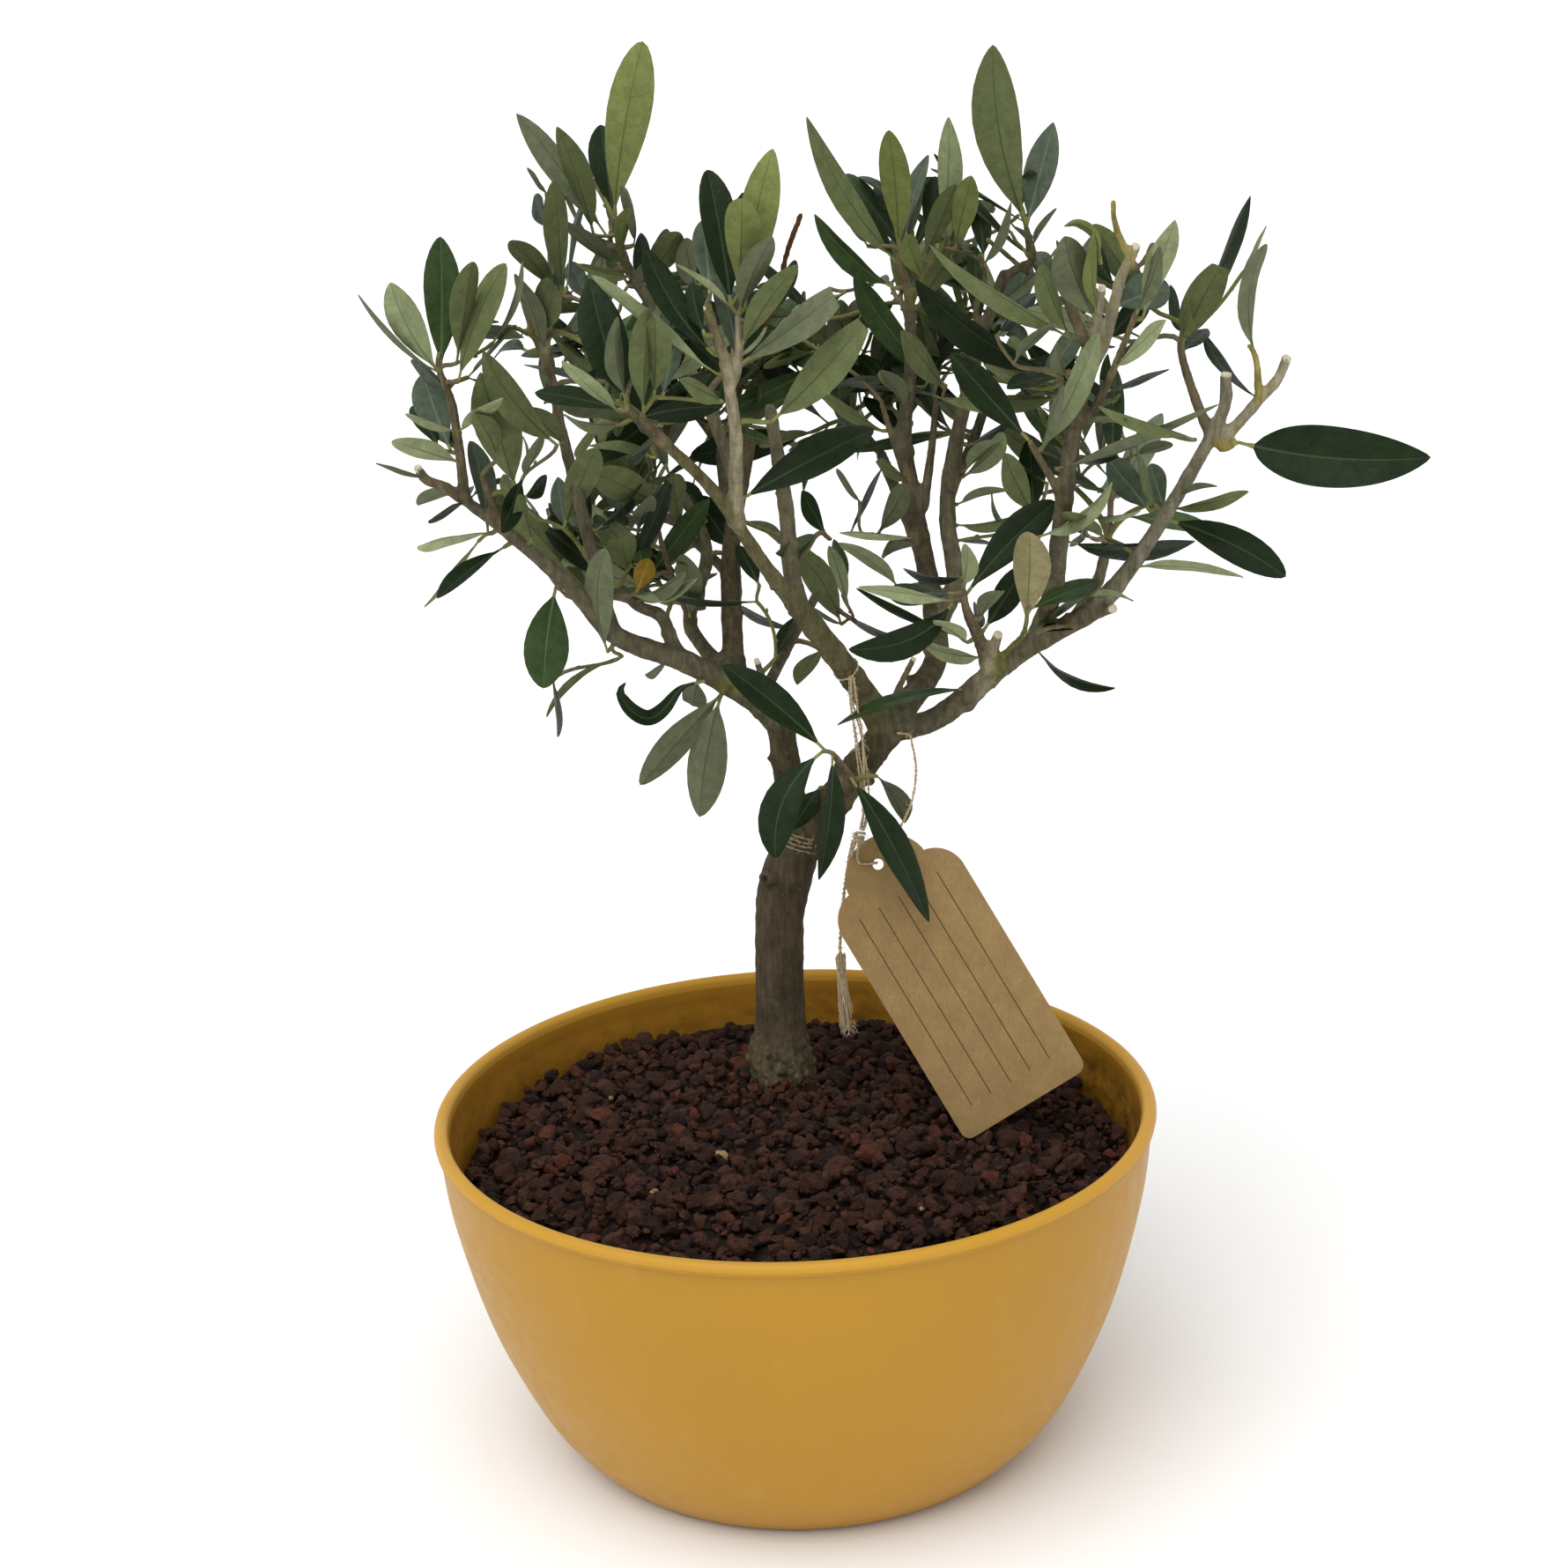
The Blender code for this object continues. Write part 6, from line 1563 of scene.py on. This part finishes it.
def hairs(line, count, spread, rnd, soup, reach=(2.0, 5.0)):
    t, a, b = frames(line)
    for _ in range(count):
        i = rnd.randrange(len(line))
        ang = rnd.uniform(0, 6.28)
        out = a[i] * math.cos(ang) + b[i] * math.sin(ang)
        length = rnd.uniform(*reach)
        p = line[i] + out * spread
        q = p + out * length * rnd.uniform(0.15, 0.5) + t[i] * length * rnd.uniform(-0.7, 0.7)
        m = (p + q) / 2 + np.array([rnd.gauss(0, 0.3) for _ in range(3)])
        soup.add(*tube(bezier(p, m, m, q, 5), np.linspace(0.09, 0.05, 5), 3))


twine = Soup()
tw_rnd = random.Random("twine")
strand_line = spline([place(*p) for p in TWINE["strands"]], 0.7)
st_s = run(strand_line)
st_t, st_a, st_b = frames(strand_line)
for k, (phase, rate, out) in enumerate(((0.0, 0.055, 1.2), (1.3, 0.05, 1.5), (2.6, 0.07, 1.0), (3.9, 0.03, 1.5), (5.2, 0.06, 1.3))):
    ang = phase + st_s * rate
    gather = 0.6 + 0.5 * np.sin(np.clip(st_s / st_s[-1], 0, 1) * math.pi)
    own = strand_line + (st_a * np.cos(ang)[:, None] + st_b * np.sin(ang)[:, None]) * (out * gather)[:, None]
    ply(own, 0.62, tw_rnd, twine, pitch=2.8)
    hairs(own, 40, 0.25, tw_rnd, twine)
loop_line = spline([place(1018, 832, 29), place(1032, 834, 29)] + [place(*p) for p in TWINE["loop"]], 0.7)
ply(loop_line, 0.8, tw_rnd, twine, pitch=2.8)
hairs(loop_line, 34, 0.3, tw_rnd, twine)
tail_line = spline([place(*p) for p in TWINE["tail"]], 0.7)
tail_s = run(tail_line)
body = tail_s < tail_s[-1] * 0.62
ply(tail_line[body], 1.1, tw_rnd, twine)
hairs(tail_line[body], 34, 0.4, tw_rnd, twine)
# the frayed tassel
fray_start = tail_line[body][-1]
for _ in range(90):
    end = tail_line[-1] + np.array((tw_rnd.gauss(0, 1.15), tw_rnd.gauss(0, 1.1), tw_rnd.uniform(-1.5, 8.0)))
    a0 = fray_start + np.array((tw_rnd.gauss(0, 0.6), tw_rnd.gauss(0, 0.6), tw_rnd.uniform(-0.5, 2.0)))
    m1 = a0 + (end - a0) * 0.35 + np.array((tw_rnd.gauss(0, 0.7), tw_rnd.gauss(0, 0.7), 0))
    m2 = a0 + (end - a0) * 0.7 + np.array((tw_rnd.gauss(0, 0.8), tw_rnd.gauss(0, 0.8), 0))
    twine.add(*tube(bezier(a0, m1, m2, end, 9), np.linspace(0.20, 0.09, 9), 4))
for _ in range(26):
    a0 = tail_line[-1] + np.array((tw_rnd.gauss(0, 1.0), tw_rnd.gauss(0, 1.0), tw_rnd.uniform(0, 5)))
    end = a0 + np.array((tw_rnd.uniform(-1.5, 3.2), tw_rnd.gauss(0, 1.2), tw_rnd.uniform(-3.5, -1.0)))
    m1 = (a0 + end) / 2 + np.array((tw_rnd.gauss(0, 0.8), 0, -0.8))
    twine.add(*tube(bezier(a0, m1, m1, end, 6), np.linspace(0.09, 0.05, 6), 3))


def coil(centre, axis, radius, turns, rise, width, squeeze=1.0):
    axis = unit(axis)
    a = unit(np.cross(axis, (0.2, 0.9, 0.1)))
    b = np.cross(axis, a)
    n = max(12, int(turns * 18))
    t = np.linspace(0, turns * 2 * math.pi, n)
    line = centre + (a * np.cos(t)[:, None] + b * np.sin(t)[:, None] * squeeze) * radius + axis * ((t / (2 * math.pi) - turns / 2) * rise)[:, None]
    return line


# knot over the card's edge, thread through the hole, wrap on the trunk
knot_at = place(975, 951, 10.5)
ply(coil(knot_at, unit(strand_line[-1] - strand_line[-4]), 1.5, 2.6, 1.2, 1.0), 1.0, tw_rnd, twine, pitch=2.8)
ply(coil(knot_at + np.array((0.3, -0.3, -0.8)), (1, 0.2, 0.4), 1.2, 1.6, 0.9, 1.0), 0.9, tw_rnd, twine, pitch=2.8)
hairs(coil(knot_at, (0, 0, 1), 1.8, 1, 0.3, 1.0), 40, 0.5, tw_rnd, twine, (1.5, 4.0))
hole = on_tag(TAG_HOLE[0], TAG_HOLE[1], 0.9)
edge_front = on_tag(TAG_HOLE[0] - 6.0, 95.4, 0.9)
edge_back = on_tag(TAG_HOLE[0] - 6.6, 95.2, -1.1)
thread = spline([knot_at, on_tag(TAG_HOLE[0] - 5.0, 94.0, 1.2), on_tag(TAG_HOLE[0] - 1.4, 91.0, 1.0), on_tag(TAG_HOLE[0], TAG_HOLE[1] + 0.6, 0.0), on_tag(TAG_HOLE[0] - 3.0, 92.0, -1.2), edge_back, knot_at + np.array((-0.6, 1.6, 0.4))], 0.5)
ply(thread, 0.9, tw_rnd, twine, pitch=2.8)
ply(spline([knot_at + np.array((-0.4, 1.0, 0)), edge_back + np.array((-1.0, 1.5, -1.0)), tail_line[2]], 0.6), 1.0, tw_rnd, twine)
trunk_line = WOOD["trunk"][0]
wrap_c = place(910, 949, 38)
ki = int(np.argmin(np.linalg.norm(trunk_line - wrap_c, axis=1)))
wrap = coil(trunk_line[ki], trunk_line[min(ki + 2, len(trunk_line) - 1)] - trunk_line[ki - 2], WOOD["trunk"][1][ki] + 0.5, 3.4, 1.5, 0.6)
ply(wrap, 0.32, tw_rnd, twine, pitch=2.2)
hairs(wrap, 190, 0.5, tw_rnd, twine, (1.5, 5.0))
top = strand_line[0]
over = WOOD["front_bough"][0]
kj = int(np.argmin(np.linalg.norm(over - top, axis=1)))
bough_r = WOOD["front_bough"][1][kj]
ply(coil(over[kj], over[kj + 1] - over[kj - 1], bough_r + 0.3, 1.1, 1.0, 1.0), 0.6, tw_rnd, twine, pitch=2.4)

twine_obj = twine.make("jute_twine", [jute_look()], 60)
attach(twine_obj, "root")
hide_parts("twine_strands", "twine_loop", "twine_tail")


# ---- floor, light, camera ------------------------------------------------
floor_mesh = bpy.data.meshes.new("floor")
floor_mesh.from_pydata([(-15, -15, -0.0002), (15, -15, -0.0002), (15, 15, -0.0002), (-15, 15, -0.0002)], [], [(0, 1, 2, 3)])
floor_k = Look("floor_pale", 0.9, 0.0)
floor_k.base(floor_k.ramp(floor_k.noise(3, 2), (0.3, 0.885), (0.7, 0.9)))
floor_mesh.materials.append(floor_k.mat)
floor = bpy.data.objects.new("floor", floor_mesh)
bpy.context.scene.collection.objects.link(floor)

world = bpy.data.worlds.new("studio")
bpy.context.scene.world = world
world.use_nodes = True
sky = world.node_tree.nodes["Background"]
sky.inputs["Color"].default_value = (1.0, 1.0, 1.0, 1.0)
sky_way = world.node_tree.nodes.new("ShaderNodeTexCoord")
sky_axis = world.node_tree.nodes.new("ShaderNodeSeparateXYZ")
sky_fall = world.node_tree.nodes.new("ShaderNodeMapRange")
for sky_socket, sky_value in zip((1, 2, 3, 4), (0.16, 0.60, 1.0, 0.66)):
    sky_fall.inputs[sky_socket].default_value = sky_value
world.node_tree.links.new(sky_way.outputs["Generated"], sky_axis.inputs[0])
world.node_tree.links.new(sky_axis.outputs["Z"], sky_fall.inputs[0])
world.node_tree.links.new(sky_fall.outputs[0], sky.inputs["Strength"])


def lamp(name, kind, energy, where, at, size=0.5):
    data = bpy.data.lights.new(name, kind)
    data.energy = energy
    if kind == "AREA":
        data.shape = "SQUARE"
        data.size = size
    else:
        data.angle = size
    obj = bpy.data.objects.new(name, data)
    obj.location = where
    obj.rotation_euler = (Vector(at) - Vector(where)).to_track_quat("-Z", "Y").to_euler()
    bpy.context.scene.collection.objects.link(obj)
    return obj


lamp("soft_sun", "SUN", 2.1, (-0.45, -0.85, 2.0), (0, 0, 0.0), math.radians(55))

cam_data = bpy.data.cameras.new("camera")
cam_data.sensor_width = cam_data.sensor_height = 36.0
cam_data.lens = VIEW_SCALE / 1780.0 * 36.0
cam_data.clip_start, cam_data.clip_end = 0.01, 100.0
camera = bpy.data.objects.new("camera", cam_data)
rot = Matrix((ACROSS, UPWARD, -AHEAD)).transposed()
camera.matrix_world = Matrix.Translation(Vector(EYE) * MM) @ rot.to_4x4()
bpy.context.scene.collection.objects.link(camera)
bpy.context.scene.camera = camera
bpy.context.scene.view_settings.view_transform = "Standard"
bpy.context.scene.view_settings.look = "None"

bpy.context.view_layer.update()
count = {o.name: sum(len(p.vertices) - 2 for p in o.data.polygons) for o in bpy.context.scene.objects if o.type == "MESH" and not o.hide_render}
print("leaves", leaf_count, "triangles", sum(count.values()), count)
